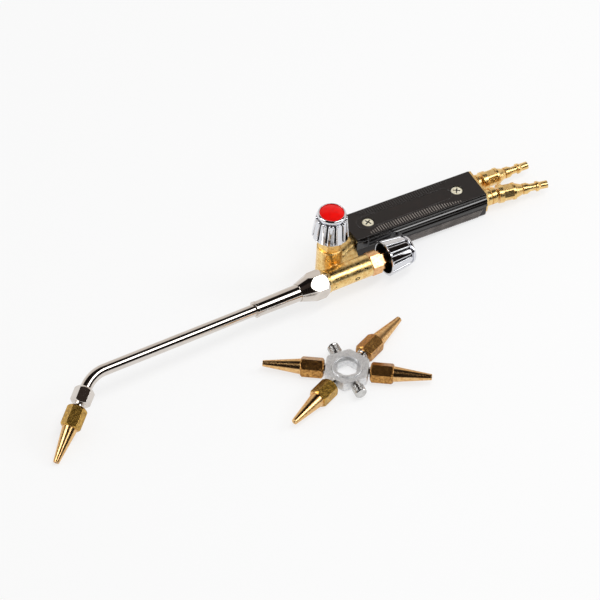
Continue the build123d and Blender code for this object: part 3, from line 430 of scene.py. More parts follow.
# Brass bar of nozzles that were never heated: the hexagon stays a yellower olive.
OLIVE_NOZZLE = NozzleFinish(
    "unfired_nozzle_brass", "#EFC88C", "#D2A064", "#DCAE54", "#8E6C2C", 1.6, 0.5
)
# Glossy black ABS, injection moulded: deep black with soft sink marks.
BLACK_ABS = PlasticFinish(
    "black_abs", "#0F0C0B", "#171210", (0.07, 0.14), 14.0, Grain(7.0, 0.02), gloss=0.8
)
# The same ABS on the fine-textured top face: satin, warm dark grey, a little scuffed.
SATIN_ABS = PlasticFinish(
    "satin_abs", "#17110F", "#231B18", (0.36, 0.5), 5.0, Grain(0.7, 0.01), gloss=0.4
)
# The same ABS painted mid grey on the near top ribs and the side ribs, a painted highlight on the
# rib tops, so the fine ribs stand out.
RIB_HIGHLIGHT_ABS = PlasticFinish("rib_highlight_abs", "#8C847E", "#5A5450", (0.3, 0.45), 9.0, Grain(2.0, 0.01))
# Matt black ABS as painted shade: the inside of each knob, and the stamped marks on the barrel.
SHADE_BLACK_ABS = PlasticFinish(
    "painted_shade_black", "#050505", "#0B0A0A", (0.5, 0.6), 5.0, Grain(1.0, 0.01), gloss=0.2
)
# Coloured ABS caps, polished mould: saturated, one sharp highlight.
RED_CAP = PlasticFinish(
    "red_abs_cap", "#F01410", "#DC0F0C", (0.12, 0.2), 3.0, Grain(2.0, 0.004), gloss=0.12
)
BLUE_CAP = PlasticFinish(
    "blue_abs_cap", "#0F3FA6", "#0A2F80", (0.1, 0.18), 3.0, Grain(2.0, 0.004), coat=0.5
)
# Moulded nitrile ring: matt black, slightly dusty.
RUBBER = PlasticFinish(
    "nitrile_rubber", "#151515", "#232323", (0.5, 0.65), 2.0, Grain(0.5, 0.01), ior=1.52
)
# Pressed PTFE packing: waxy white.
PACKING = PlasticFinish(
    "ptfe_packing", "#E9E6DE", "#D2CDC0", (0.4, 0.55), 2.0, Grain(0.5, 0.01), ior=1.38
)


# --- places


@dataclass(frozen=True)
class Axes:
    """A local frame: an origin and three unit directions."""

    origin: Vector
    x: Vector
    y: Vector
    z: Vector

    @property
    def matrix(self) -> Matrix:
        """The transform from local coordinates to the row frame."""
        turn = Matrix((self.x, self.y, self.z)).transposed().to_4x4()
        return Matrix.Translation(self.origin) @ turn

    def extent(self, node: str, frame: dict) -> tuple[Vector, Vector]:
        """Measures a CAD node in these axes.

        Args:
            node: The node's name.

        Returns:
            Its lowest and highest corner.
        """
        back = self.matrix.inverted()
        points = [back @ v.co for v in frame["nodes"][node].data.vertices]
        low = Vector(min(p[i] for p in points) for i in range(3))
        high = Vector(max(p[i] for p in points) for i in range(3))
        return low, high

    def moved(self, offset: Vector) -> Axes:
        """The same directions with the origin at a local point."""
        return Axes(self.matrix @ offset, self.x, self.y, self.z)


def axes_along(origin: Vector, forward: Vector, hint: Vector) -> Axes:
    """Works out axes whose z runs forward and whose x keeps closest to a hint.

    Args:
        origin: Where the axes start.
        forward: The direction of z, of any length.
        hint: The direction that x keeps close to.

    Returns:
        The axes.
    """
    z = forward.normalized()
    x = (hint - z * hint.dot(z)).normalized()
    return Axes(origin, x, z.cross(x), z)


@dataclass(frozen=True)
class Layout:
    """Where the torch and its carrier lie, read from the joints and mounts."""

    frame: dict

    def joint(self, name: str) -> dict:
        """The record's entry of a joint."""
        return next(j for j in self.frame["joints"] if j["name"] == name)

    def mount(self, name: str) -> dict:
        """The record's entry of a mount."""
        return next(m for m in self.frame["record"]["mounts"] if m["name"] == name)

    @property
    def torch(self) -> Axes:
        """The torch's axes: x points back along it and z along the fuel valve.

        Returns:
            The axes, which start on the head's swivel.
        """
        swivel = self.joint("head_swivel")
        upward = Vector(self.joint("fuel_knob_turn")["axis"])
        x = Vector(swivel["axis"])
        return Axes(Vector(swivel["pos_m"]), x, upward.cross(x), upward)

    @property
    def carrier_middle(self) -> Vector:
        """The middle of the carrier, halfway between its two vacant studs."""
        return sum((Vector(self.mount(name)["pos_m"]) for name in VACANT_STUDS), Vector()) / 2


# --- building pieces


def to_scene(name: str, data: bpy.types.ID) -> Piece:
    """Makes an object of a mesh, lamp or camera and links it to the scene.

    Args:
        name: The object's name.
        data: The mesh, lamp or camera.

    Returns:
        The object.
    """
    piece = bpy.data.objects.new(name, data)
    bpy.context.scene.collection.objects.link(piece)
    return piece


def to_piece(name: str, mesh: Mesh) -> Piece:
    """Makes an object of a bmesh.

    Args:
        name: The object's name.
        mesh: The bmesh. It is freed.

    Returns:
        The object.
    """
    data = bpy.data.meshes.new(name)
    mesh.to_mesh(data)
    mesh.free()
    return to_scene(name, data)


def finish_piece(
    mesh: Mesh,
    name: str,
    place: Axes,
    materials: list[Material],
    body: Body,
    slot: Slot,
    smooth: bool = True,
) -> Piece:
    """Turns a bmesh into a piece that rides on a body.

    Args:
        mesh: The shape in local metres. It is freed.
        name: The piece's name.
        place: The axes that the shape is drawn in.
        materials: The piece's materials, in slot order.
        body: The body that carries the piece.
        slot: The record's material slot; not used.
        smooth: Whether faces are shaded smooth up to the sharp-edge angle.

    Returns:
        The object, at the origin with its place in its mesh.
    """
    bmesh.ops.remove_doubles(mesh, verts=mesh.verts, dist=WELD)
    bmesh.ops.transform(mesh, matrix=place.matrix, verts=mesh.verts)
    bmesh.ops.recalc_face_normals(mesh, faces=mesh.faces)
    for face in mesh.faces:
        face.smooth = smooth
    for edge in mesh.edges:
        if len(edge.link_faces) == 2 and edge.calc_face_angle(0.0) > SHARP_EDGE:
            edge.smooth = False
    piece = to_piece(name, mesh)
    for material in materials:
        piece.data.materials.append(material)
    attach(piece, body.value)
    LOG.info("piece %s on %s", name, body.value)
    return piece


def dress(frame: dict, material: Material, *nodes: str) -> None:
    """Gives CAD nodes a material.

    Args:
        material: The material.
        *nodes: The nodes' names.
    """
    for name in nodes:
        piece = frame["nodes"][name]
        piece.data.materials.clear()
        piece.data.materials.append(material)
        LOG.info("node %s gets %s", name, material.name)


def spin_profile(mesh: Mesh, outline: Outline, steps: int) -> None:
    """Spins an outline of (radius, height) points in millimetres about z.

    Args:
        mesh: The bmesh that gets the shape.
        outline: Points from one end of the profile to the other.
        steps: The number of steps round the axis.
    """
    verts = [mesh.verts.new((r * MM, 0.0, h * MM)) for r, h in outline]
    edges = [mesh.edges.new(pair) for pair in zip(verts, verts[1:])]
    bmesh.ops.spin(
        mesh,
        geom=verts + edges,
        cent=(0, 0, 0),
        axis=(0, 0, 1),
        angle=math.tau,
        steps=steps,
        use_merge=True,
    )
    bmesh.ops.remove_doubles(mesh, verts=mesh.verts, dist=WELD)


def add_block(mesh: Mesh, size_mm: Triple) -> list:
    """Adds a block round the origin.

    Args:
        mesh: The bmesh that gets the block.
        size_mm: Its length along each axis.

    Returns:
        Its corners.
    """
    corners = bmesh.ops.create_cube(mesh, size=1.0)["verts"]
    bmesh.ops.scale(mesh, vec=Vector(size_mm) * MM, verts=corners)
    return corners


def shift(mesh: Mesh, verts: list, offset_mm: Triple) -> None:
    """Moves some points of a bmesh."""
    bmesh.ops.translate(mesh, vec=Vector(offset_mm) * MM, verts=verts)


def turn_about(mesh: Mesh, verts: list, degrees: float, axis: str) -> None:
    """Turns some points of a bmesh about the X, Y or Z axis."""
    matrix = Matrix.Rotation(math.radians(degrees), 3, axis)
    bmesh.ops.rotate(mesh, cent=(0, 0, 0), matrix=matrix, verts=verts)


def round_off(
    mesh: Mesh, geom: list, radius_mm: float, segments: int, affect: str = "EDGES"
) -> None:
    """Rounds off edges of a bmesh, or corners of a flat one.

    Args:
        mesh: The bmesh.
        geom: The edges, or the corners.
        radius_mm: How far the rounding reaches.
        segments: The number of faces across it.
        affect: EDGES, or VERTICES for corners.
    """
    bmesh.ops.bevel(
        mesh,
        geom=geom,
        offset=radius_mm * MM,
        segments=segments,
        profile=0.5,
        affect=affect,
        material=-1,
    )


def carve(piece: Piece, mesh: Mesh, place: Axes) -> None:
    """Cuts a shape out of a piece.

    Args:
        piece: The piece.
        mesh: The shape in local metres. It is freed.
        place: The axes that the shape is drawn in.
    """
    bmesh.ops.transform(mesh, matrix=place.matrix, verts=mesh.verts)
    bmesh.ops.recalc_face_normals(mesh, faces=mesh.faces)
    cutter = to_piece("cutter", mesh)
    boolean = piece.modifiers.new("recess", "BOOLEAN")
    boolean.operation = "DIFFERENCE"
    boolean.solver = "EXACT"
    boolean.use_self = True
    boolean.object = cutter
    graph = bpy.context.evaluated_depsgraph_get()
    carved = bpy.data.meshes.new_from_object(piece.evaluated_get(graph))
    piece.modifiers.clear()
    piece.data = carved
    bpy.data.objects.remove(cutter)


# --- studio


def towards(azimuth: float, elevation: float) -> Vector:
    """Works out a unit direction from the object.

    Args:
        azimuth: Degrees round from the front.
        elevation: Degrees above level.

    Returns:
        The direction.
    """
    turn, lift = math.radians(azimuth), math.radians(elevation)
    level = math.cos(lift)
    return Vector((math.sin(turn) * level, -math.cos(turn) * level, math.sin(lift)))


@dataclass(frozen=True)
class Lamp:
    """A soft rectangular lamp that faces the object and stays out of reflections."""

    name: str
    place_m: Triple
    face_m: Range
    watts: float

    def build(self) -> None:
        """Makes the lamp."""
        data = bpy.data.lights.new(self.name, "AREA")
        data.shape = "RECTANGLE"
        data.size, data.size_y = self.face_m
        data.energy = self.watts
        lamp = to_scene(self.name, data)
        lamp.location = self.place_m
        lamp.rotation_euler = Vector(self.place_m).to_track_quat("Z", "Y").to_euler()
        lamp.visible_glossy = False


@dataclass(frozen=True)
class Flag:
    """A round dark flag in the tent: where it hangs and its radius, in degrees."""

    azimuth: float
    elevation: float
    reach: float


@dataclass(frozen=True)
class Studio:
    """Camera, pale floor, two lamps and a light tent with three dark flags.

    The tent's bands run from the horizon on the camera's side (0) over the zenith (0.5) to the
    horizon behind the object (1).
    """

    azimuth: float = 328.06
    elevation: float = 45.94
    roll: float = 0.41
    distance_m: float = 12.0
    lens_mm: float = 1110.9
    sensor_mm: float = 36.0
    clip_factor: float = 20.0
    aim_mm: Triple = (1.6, 22.1, 20.0)
    lamps: tuple[Lamp, ...] = (
        Lamp("overhead_softbox", (0.15, -0.35, 1.4), (1.2, 0.16), 6.0),
        Lamp("right_softbox", (1.2, -0.5, 0.9), (0.5, 0.5), 4.0),
    )
    tent_bands: tuple[tuple[float, str], ...] = (
        (0.00, "#1C1613"),
        (0.22, "#1C1613"),
        (0.26, "#A89F98"),
        (0.30, WHITE),
        (0.52, WHITE),
        (0.54, DARK_CLOTH),
        (0.70, "#1C1714"),
        (0.74, "#DDD7D2"),
        (1.00, "#E6E1DC"),
    )
    power_bands: tuple[Range, ...] = ((0.28, 0.195), (0.34, 1.0), (0.46, 1.0), (0.52, 0.195))
    softbox_power: float = 5.5
    fill_power: float = 0.62
    flags: tuple[Flag, ...] = (
        Flag(317.0, 45.0, 31.0),
        Flag(0.0, 90.0, 29.0),
        Flag(22.0, 19.0, 25.5),
    )
    flag_edge: float = 2.5
    floor_drop_mm: float = 0.05
    floor_size_m: float = 60.0
    floor_paint: str = "#F7F7F7"
    floor_roughness: float = 0.4
    floor_glow: float = 0.7

    @property
    def back(self) -> Vector:
        """Unit direction from the object to the camera."""
        return towards(self.azimuth, self.elevation)

    def camera(self) -> None:
        """Makes the camera."""
        data = bpy.data.cameras.new("camera")
        data.lens = self.lens_mm
        data.sensor_width = self.sensor_mm
        data.clip_end = self.distance_m * self.clip_factor
        eye = to_scene("camera", data)
        eye.location = Vector(self.aim_mm) * MM + self.back * self.distance_m
        turn = self.back.to_track_quat("Z", "Y") @ Quaternion((0, 0, 1), math.radians(self.roll))
        eye.rotation_euler = turn.to_euler()
        bpy.context.scene.camera = eye

    def floor(self) -> None:
        """Makes the pale floor, which shows white but keeps the soft shadow."""
        mesh = bmesh.new()
        bmesh.ops.create_grid(mesh, x_segments=1, y_segments=1, size=self.floor_size_m / 2)
        floor = to_piece("floor", mesh)
        floor.location.z = -self.floor_drop_mm * MM
        material, tree = new_material("painted_floor")
        ray = tree.nodes.new("ShaderNodeLightPath").outputs
        seen = add_math(tree, "MAXIMUM", ray["Is Camera Ray"], ray["Is Glossy Ray"])
        share = add_math(tree, "MULTIPLY", seen, self.floor_glow)
        links = {"Color": linear(self.floor_paint), "Roughness": self.floor_roughness}
        paint = add_node(tree, "BsdfDiffuse", links)
        glow = add_node(tree, "Emission", {"Color": linear(WHITE), "Strength": 1.0})
        show(tree, add_node(tree, "MixShader", {0: share, 1: paint, 2: glow}))
        floor.data.materials.append(material)

    def world(self) -> None:
        """Makes the light tent: white for the eye, banded for reflections."""
        world = bpy.data.worlds.new("light_tent")
        bpy.context.scene.world = world
        world.use_nodes = True
        tree = world.node_tree
        tree.nodes.clear()
        ray = tree.nodes.new("ShaderNodeLightPath").outputs
        direction = add_node(tree, "TexCoord", {}, "Generated")
        front = add_dot(tree, direction, Vector((self.back.x, self.back.y, 0)).normalized())
        angle = add_math(tree, "ARCTAN2", add_dot(tree, direction, UP), front)
        share = add_math(tree, "DIVIDE", angle, math.pi)
        shaded = add_ramp(tree, share, [(at, linear(colour)) for at, colour in self.tent_bands])
        for flag in self.flags:
            near = add_dot(tree, direction, towards(flag.azimuth, flag.elevation))
            outer = math.cos(math.radians(flag.reach + self.flag_edge))
            inner = math.cos(math.radians(flag.reach - self.flag_edge))
            shaded = blend(tree, remap(tree, near, (outer, inner)), shaded, DARK_CLOTH)
        levels = [(at, (level, level, level, 1.0)) for at, level in self.power_bands]
        strength = add_math(tree, "MULTIPLY", add_ramp(tree, share, levels), self.softbox_power)
        tent = add_node(tree, "Background", {"Color": shaded, "Strength": strength})
        fill, white = (
            add_node(tree, "Background", {"Color": linear(WHITE), "Strength": power})
            for power in (self.fill_power, 1.0)
        )
        lit = add_node(tree, "MixShader", {0: ray["Is Glossy Ray"], 1: fill, 2: tent})
        seen = add_math(tree, "MAXIMUM", ray["Is Camera Ray"], ray["Is Transmission Ray"])
        show(tree, add_node(tree, "MixShader", {0: seen, 1: lit, 2: white}), "World")

    def build(self) -> None:
        """Sets up the whole studio."""
        self.camera()
        self.floor()
        self.world()
        for lamp in self.lamps:
            lamp.build()
        bpy.context.scene.view_settings.view_transform = "Standard"


# --- sub-assemblies


@dataclass
class Nozzles:
    """The nozzle on the head and the four spare ones."""

    hexagon_mm: float = 15.2
    bend_angle: float = 44.0
    bend_roll: float = 50.0
    spares: tuple[int, ...] = (1, 2, 3, 4)

    def head_direction(self, torch: Axes) -> Vector:
        """Works out where the head's nozzle points.

        Args:
            torch: The torch's axes.

        Returns:
            The unit direction.
        """
        bend, roll = math.radians(self.bend_angle), math.radians(self.bend_roll)
        return (
            torch.x * -math.cos(bend)
            - torch.y * math.sin(bend) * math.sin(roll)
            - torch.z * math.sin(bend) * math.cos(roll)
        )

    def dress(self, frame: dict, node: str, axis: Vector, finish: NozzleFinish) -> None:
        """Gives one nozzle its own brass.

        Args:
            node: The nozzle's node.
            axis: Its direction from rear face to tip.
            finish: Its kind of brass.
        """
        rear = min(v.co.dot(axis) for v in frame["nodes"][node].data.vertices)
        material = finish.material(axis, rear + self.hexagon_mm * MM, node)
        dress(frame, material, node)

    def build(self, layout: Layout) -> None:
        """Dresses all five nozzles.

        Args:
            layout: The frame with its joints and mounts.
        """
        head = self.head_direction(layout.torch)
        self.dress(layout.frame, "nozzle_tip", head, OLIVE_NOZZLE)
        for number in self.spares:
            node = f"spare_nozzle_{number}"
            low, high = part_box(node)
            outward = (low + high) / 2 - layout.carrier_middle
            outward.z = 0.0
            finish = OLIVE_NOZZLE if max(outward.xy) < 0 else COPPERY_NOZZLE
            self.dress(layout.frame, node, outward.normalized(), finish)


@dataclass
class Knob:
    """A plated knob: crowned lobes on a cone, a ringed bezel and an inside in matt black, painted
    shade.

    The tables of pairs hold points of the half section, measured out from the radius and up from
    the height that their part of the knob starts at.
    """

    gas: str
    body: Body
    facing: float
    finishes: list[Material]
    lobes: int = 12
    hub_bore: float = 2.7
    hub_radius: float = 4.5
    hub_height: float = 4.0
    cavity_height: float = 10.0
    cavity_top: float = 8.6
    cavity_rim: float = 10.3
    cavity_margin: float = 0.1
    rim_edge: float = 11.8
    rim_round: float = 0.25
    rim_chamfer: float = 0.2
    rim_height: float = 0.7
    rim_slope_end: float = 1.1
    foot_radius: float = 10.9
    foot_height: float = 1.8
    neck_radius: float = 9.3
    neck_height: float = 16.3
    groove_depth: float = 0.9
    groove_width: float = 0.9
    groove_lead: float = 0.15
    bezel_radius: float = 9.6
    bezel_foot: tuple[Range, ...] = ((-0.15, 0.1), (0.0, 0.3))
    bezel_side: tuple[Range, ...] = ((-0.1, -1.3), (-0.3, -0.6))
    bezel_top: float = 8.7
    bezel_crown: tuple[Range, ...] = ((0.2, -0.15), (-0.2, 0.0))
    cap_radius: float = 8.1
    cap_mouth: tuple[Range, ...] = ((0.1, 0.0), (0.0, -0.2))
    cap_depth: float = 2.5
    lobe_depth: float = 1.65
    lobe_width: float = 4.9
    lobe_arch: float = 2.0
    lobe_arch_steps: int = 6
    lobe_round: float = 0.8
    lobe_round_steps: int = 4
    lobe_taper: float = 0.14
    lobe_foot: float = 1.0
    lobe_lift: float = 0.4
    lobe_slope: float = 6.5

    def outline(self, height: float) -> Outline:
        """The closed half section without the lobes.

        Args:
            height: The knob's height.

        Returns:
            Points of radius and height in millimetres.
        """
        groove, ledge = self.neck_radius - self.groove_depth, self.neck_height + self.groove_width
        points = [
            (self.hub_bore, self.hub_height),
            (self.hub_radius, self.hub_height),
            (self.hub_radius, self.cavity_height),
            (self.cavity_top, self.cavity_height),
            (self.cavity_rim, self.rim_round),
            (self.cavity_rim + self.rim_round, 0.0),
            (self.rim_edge - self.rim_round, 0.0),
            (self.rim_edge, self.rim_chamfer),
            (self.rim_edge, self.rim_height),
            (self.foot_radius, self.rim_slope_end),
            (self.foot_radius, self.foot_height),
            (self.neck_radius, self.neck_height),
            (groove, self.neck_height + self.groove_lead),
            (groove, ledge),
        ]
        for radius, level, offsets in (
            (self.bezel_radius, ledge, self.bezel_foot),
            (self.bezel_radius, height, self.bezel_side),
            (self.bezel_top, height, self.bezel_crown),
            (self.cap_radius, height, self.cap_mouth),
        ):
            points += [(radius + out, level + up) for out, up in offsets]
        seat = height - self.cap_depth
        return [*points, (self.cap_radius, seat), (self.hub_bore, seat), points[0]]

    def add_lobes(self, mesh: Mesh, outer: float) -> None:
        """Adds the lobes, each a leaning block with an arched top and rounded edges.

        Args:
            mesh: The bmesh that gets them, empty so far.
            outer: The radius over the lobes at their foot.
        """
        length = self.neck_height + self.lobe_foot
        add_block(mesh, (self.lobe_depth, self.lobe_width, length))
        ends = {edge: [vert.co for vert in edge.verts] for edge in mesh.edges}
        upper = [e for e, (a, b) in ends.items() if min(a.z, b.z) > 0 and abs(a.y - b.y) < WELD]
        round_off(mesh, upper, self.lobe_arch, self.lobe_arch_steps)
        mesh.normal_update()
        front = max(mesh.faces, key=lambda face: face.normal.x)
        round_off(mesh, front.edges[:], self.lobe_round, self.lobe_round_steps)
        for vert in mesh.verts:
            vert.co.y *= 1 - self.lobe_taper * (0.5 + vert.co.z / (length * MM))
        shift(mesh, mesh.verts, (-self.lobe_depth / 2, 0, length / 2 - self.lobe_foot))
        turn_about(mesh, mesh.verts, -self.lobe_slope, "Y")
        shift(mesh, mesh.verts, (outer, 0, 0))
        cut = bmesh.ops.bisect_plane(
            mesh,
            geom=mesh.verts[:] + mesh.edges[:] + mesh.faces[:],
            plane_co=(0, 0, self.lobe_lift * MM),
            plane_no=(0, 0, -1),
            clear_outer=True,
        )
        edges = [part for part in cut["geom_cut"] if isinstance(part, bmesh.types.BMEdge)]
        bmesh.ops.edgeloop_fill(mesh, edges=edges)
        turn_about(mesh, mesh.verts, self.facing, "Z")
        bmesh.ops.spin(
            mesh,
            geom=mesh.verts[:] + mesh.edges[:] + mesh.faces[:],
            cent=(0, 0, 0),
            axis=(0, 0, 1),
            angle=math.tau - math.tau / self.lobes,
            steps=self.lobes - 1,
            use_duplicate=True,
        )

    def build(self, layout: Layout) -> None:
        """Builds the knob in place of its plain node.

        Args:
            layout: The frame with its joints and mounts.
        """
        joint = layout.joint(f"{self.gas}_knob_turn")
        hint = layout.torch.x if self.gas == "fuel" else layout.torch.z
        axes = axes_along(Vector(joint["pos_m"]), Vector(joint["axis"]), hint)
        low, high = axes.extent(f"{self.gas}_knob", layout.frame)
        mesh = bmesh.new()
        self.add_lobes(mesh, high.x / MM)
        spin_profile(mesh, self.outline((high.z - low.z) / MM), ROUND_STEPS)
        inside = self.cavity_rim + self.cavity_margin
        ceiling = self.cavity_height + self.cavity_margin
        # faces inside the cavity take the second material, matt black painted shade
        for face in mesh.faces:
            centre = face.calc_center_median() / MM
            if centre.xy.length < inside and centre.z < ceiling:
                face.material_index = 1
        rim = axes.moved(Vector((0, 0, low.z)))
        name = f"{self.gas}_knob_lobed"
        piece = finish_piece(mesh, name, rim, self.finishes, self.body, Slot.CHROME)
        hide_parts(f"{self.gas}_knob")


@dataclass
class HandleTrim:
    """The upper shell's skin, screw heads, rib strips and panel bead of the handle."""

    plastic: Material
    satin: Material
    rib_highlight: Material
    metal: Material
    yaw: float = -2.3
    bulge_middle: Range = (11.252, -6.7095)
    bulge_radius: float = 3.296
    bulge_tolerance: float = 0.08
    side_steps: tuple[Range, ...] = (
        (-3.5, 12.0),
        (-3.8, 12.45),
        (-4.26, 12.9),
        (-7.28, 14.5),
        (-8.8, 14.5),
    )
    satin_facing: float = 0.9
    satin_depth: float = 0.1
    screw_places: Range = (15.0, 81.5)
    screw_seat: float = 2.65
    screw_radius: float = 3.95
    screw_height: float = 2.4
    screw_rise: float = 0.45
    screw_edge: float = 0.5
    screw_edge_bend: float = 0.15
    screw_dome: float = 0.6
    screw_dome_drop: float = 0.1
    screw_foot: float = 2.0
    shank_length: float = 9.0
    recess_arm: float = 2.5
    recess_width: float = 0.85
    recess_depth: float = 1.3
    recess_turn: float = 28.0
    recess_floor: float = 1.0
    recess_lip: float = 0.25
    rib_half: float = 11.8
    rib_start: float = 12.0
    rib_end: float = 80.0
    rib_pitch: float = 1.8
    rib_size: Triple = (0.55, 4.6, 0.2)
    rib_inset: float = 0.9
    rib_fade_in: Range = (6.0, 14.0)
    rib_fade_out: Range = (4.0, 22.0)
    side_half: float = 13.15
    side_start: float = 34.0
    side_end_gap: float = 4.0
    side_drop: float = 0.6
    side_pitch: float = 1.3
    side_size: Triple = (0.55, 0.36, 7.4)
    side_slant: float = 24.0
    side_lean: float = 6.4
    bead_size: Range = (70.0, 11.0)
    bead_corner: float = 0.45
    bead_corner_steps: int = 8
    bead_place: float = 42.0
    bead_width: float = 0.28
    bead_height: float = 0.24
    bead_rise: float = 0.02

    def axes(self, frame: dict, torch: Axes) -> Axes:
        """Works out axes at the front of the handle's top face.

        Args:
            torch: The torch's axes.

        Returns:
            The axes, with x back along the middle of the face.
        """
        turn = Matrix.Rotation(math.radians(self.yaw), 3, torch.z)
        yawed = Axes(torch.origin, turn @ torch.x, turn @ torch.y, torch.z)
        low, high = yawed.extent("handle_top_shell", frame)
        return yawed.moved(Vector((low.x, (low.y + high.y) / 2, high.z)))

    def side_at(self, height: float) -> float:
        """Works out half the width of the upper shell.

        Args:
            height: The height from the top face in millimetres, which is negative.

        Returns:
            The half width in millimetres.
        """
        steps = self.side_steps
        for (upper, outer), (lower, wider) in zip(steps, steps[1:]):
            if height >= lower:
                share = (upper - height) / (upper - lower)
                return outer + share * (wider - outer)
        return steps[-1][1]

    def top_shell(self, frame: dict, top: Axes) -> None:
        """Makes the upper shell with its sloping sides from the plain one.

        Args:
            top: The handle's axes.
        """
        mesh = bmesh.new()
        mesh.from_mesh(frame["nodes"]["handle_top_shell"].data)
        bmesh.ops.remove_doubles(mesh, verts=mesh.verts, dist=WELD)
        bmesh.ops.transform(mesh, matrix=top.matrix.inverted(), verts=mesh.verts)
        middle_y, middle_z = self.bulge_middle
        for vert in mesh.verts:
            across, height = abs(vert.co.y) / MM, vert.co.z / MM
            reach = math.hypot(across - middle_y, height - middle_z)
            if across > middle_y and abs(reach - self.bulge_radius) < self.bulge_tolerance:
                vert.co.y = math.copysign(self.side_at(height) * MM, vert.co.y)
        mesh.normal_update()
        for face in mesh.faces:
            level = face.calc_center_median().z / MM
            if face.normal.z > self.satin_facing and level > -self.satin_depth:
                face.material_index = 1
        finishes = [self.plastic, self.satin]
        piece = finish_piece(mesh, "handle_upper_skin", top, finishes, *HANDLE)
        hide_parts("handle_top_shell")

    def screw_outline(self) -> Outline:
        """Works out the half section of a pan-head screw.

        Returns:
            Points of (radius, height) in millimetres from the head's underside.
        """
        radius, height = self.screw_radius, self.screw_height
        shoulder = height - self.screw_rise
        return [
            (0.0, -self.shank_length),
            (self.screw_foot, -self.shank_length),
            (self.screw_foot, 0.0),
            (radius, 0.0),
            (radius, shoulder - self.screw_edge),
            (radius - self.screw_edge_bend, shoulder - self.screw_edge_bend),
            (radius - self.screw_edge, shoulder),
            (radius * self.screw_dome, height - self.screw_dome_drop),
            (0.0, height),
        ]

    def screws(self, top: Axes) -> None:
        """Makes the two pan-head screws with cross recesses; the recess faces get black plastic as
        painted shade.

        Args:
            top: The handle's axes.
        """
        height = self.screw_height
        for number, place in enumerate(self.screw_places, start=1):
            mesh = bmesh.new()
            spin_profile(mesh, self.screw_outline(), SMALL_STEPS)
            axes = top.moved(Vector((place, 0, -self.screw_seat)) * MM)
            name, finishes = f"handle_screw_{number}", [self.metal, self.plastic]
            screw = finish_piece(mesh, name, axes, finishes, Body.TORCH, Slot.YELLOW_ZINC)
            cutter = bmesh.new()
            for turn in (0, 90):
                size = (2 * self.recess_arm, self.recess_width, 2 * self.recess_depth)
                arm = add_block(cutter, size)
                turn_about(cutter, arm, turn + self.recess_turn * number, "Z")
                shift(cutter, arm, (0, 0, height))
            carve(screw, cutter, axes)
            # faces down in the cross recess take the black plastic as painted shade
            to_local = axes.matrix.inverted()
            for face in screw.data.polygons:
                spot = to_local @ face.center / MM
                sunk = self.recess_floor < spot.z < height - self.recess_lip
                if sunk and spot.xy.length < self.recess_arm:
                    face.material_index = 1
            if number == 1:
                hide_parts("handle_screws")

    def top_ribs(self, top: Axes) -> None:
        """Makes the two strips of fine cross ribs along the top edges, the near one mid grey as a
        painted highlight, the far one plain black.

        Args:
            top: The handle's axes.
        """
        (lead, rise), (trail, fall) = self.rib_fade_in, self.rib_fade_out
        length, width, height = self.rib_size
        for name, side, finish in (("near", -1, self.rib_highlight), ("far", 1, self.plastic)):
            mesh = bmesh.new()
            place = self.rib_start
            while place < self.rib_end:
                start, end = place - self.rib_start + lead, self.rib_end - place + trail
                reach = width * min(1.0, start / rise, end / fall)
                rib = add_block(mesh, (length, reach, 2 * height))
                shift(mesh, rib, (place, side * (self.rib_half - self.rib_inset - reach / 2), 0))
                place += self.rib_pitch
            finish_piece(mesh, f"top_ribs_{name}", top, [finish], *HANDLE, smooth=False)

    def side_ribs(self, top: Axes, foot: float, length: float) -> None:
        """Makes the slanted ribs low on both sides, mid grey as a painted highlight.

        Args:
            top: The handle's axes.
            foot: Height of the middle of the ribs below the top, in millimetres.
            length: The handle's length in millimetres.
        """
        for name, side in (("near", -1), ("far", 1)):
            mesh = bmesh.new()
            place = self.side_start
            while place < length - self.side_end_gap:
                rib = add_block(mesh, self.side_size)
                turn_about(mesh, rib, self.side_slant, "Y")
                turn_about(mesh, rib, -side * self.side_lean, "X")
                shift(mesh, rib, (place, side * self.side_half, -foot))
                place += self.side_pitch
            finish_piece(mesh, f"side_ribs_{name}", top, [self.rib_highlight], *HANDLE, smooth=False)

    def bead(self, top: Axes) -> None:
        """Makes the fine bead round the panel in the middle of the top.

        Args:
            top: The handle's axes.
        """
        mesh = bmesh.new()
        length, width = self.bead_size
        bmesh.ops.create_grid(mesh, x_segments=1, y_segments=1, size=0.5)
        bmesh.ops.scale(mesh, vec=Vector((length, width, 1)) * MM, verts=mesh.verts)
        corner = width * self.bead_corner
        round_off(mesh, mesh.verts[:], corner, self.bead_corner_steps, "VERTICES")
        bmesh.ops.inset_region(
            mesh, faces=mesh.faces[:], thickness=self.bead_width * MM, use_boundary=True
        )
        panel = [face for face in mesh.faces if len(face.verts) > 4]
        bmesh.ops.delete(mesh, geom=panel, context="FACES_ONLY")
        bmesh.ops.solidify(mesh, geom=mesh.faces[:], thickness=self.bead_height * MM)
        middle = sum(vert.co.z for vert in mesh.verts) / len(mesh.verts) / MM
        shift(mesh, mesh.verts, (self.bead_place, 0, self.bead_rise - middle))
        finish_piece(mesh, "top_panel_bead", top, [self.plastic], *HANDLE)

    def build(self, layout: Layout) -> None:
        """Builds everything on the handle.

        Args:
            layout: The frame with its joints and mounts.
        """
        top = self.axes(layout.frame, layout.torch)
        low, high = top.extent("handle_bottom_shell", layout.frame)
        parting, _ = top.extent("handle_top_shell", layout.frame)
        self.top_shell(layout.frame, top)
        self.screws(top)
        self.top_ribs(top)
        foot = self.side_drop - (parting.z + low.z) / 2 / MM
        self.side_ribs(top, foot, high.x / MM)
        self.bead(top)


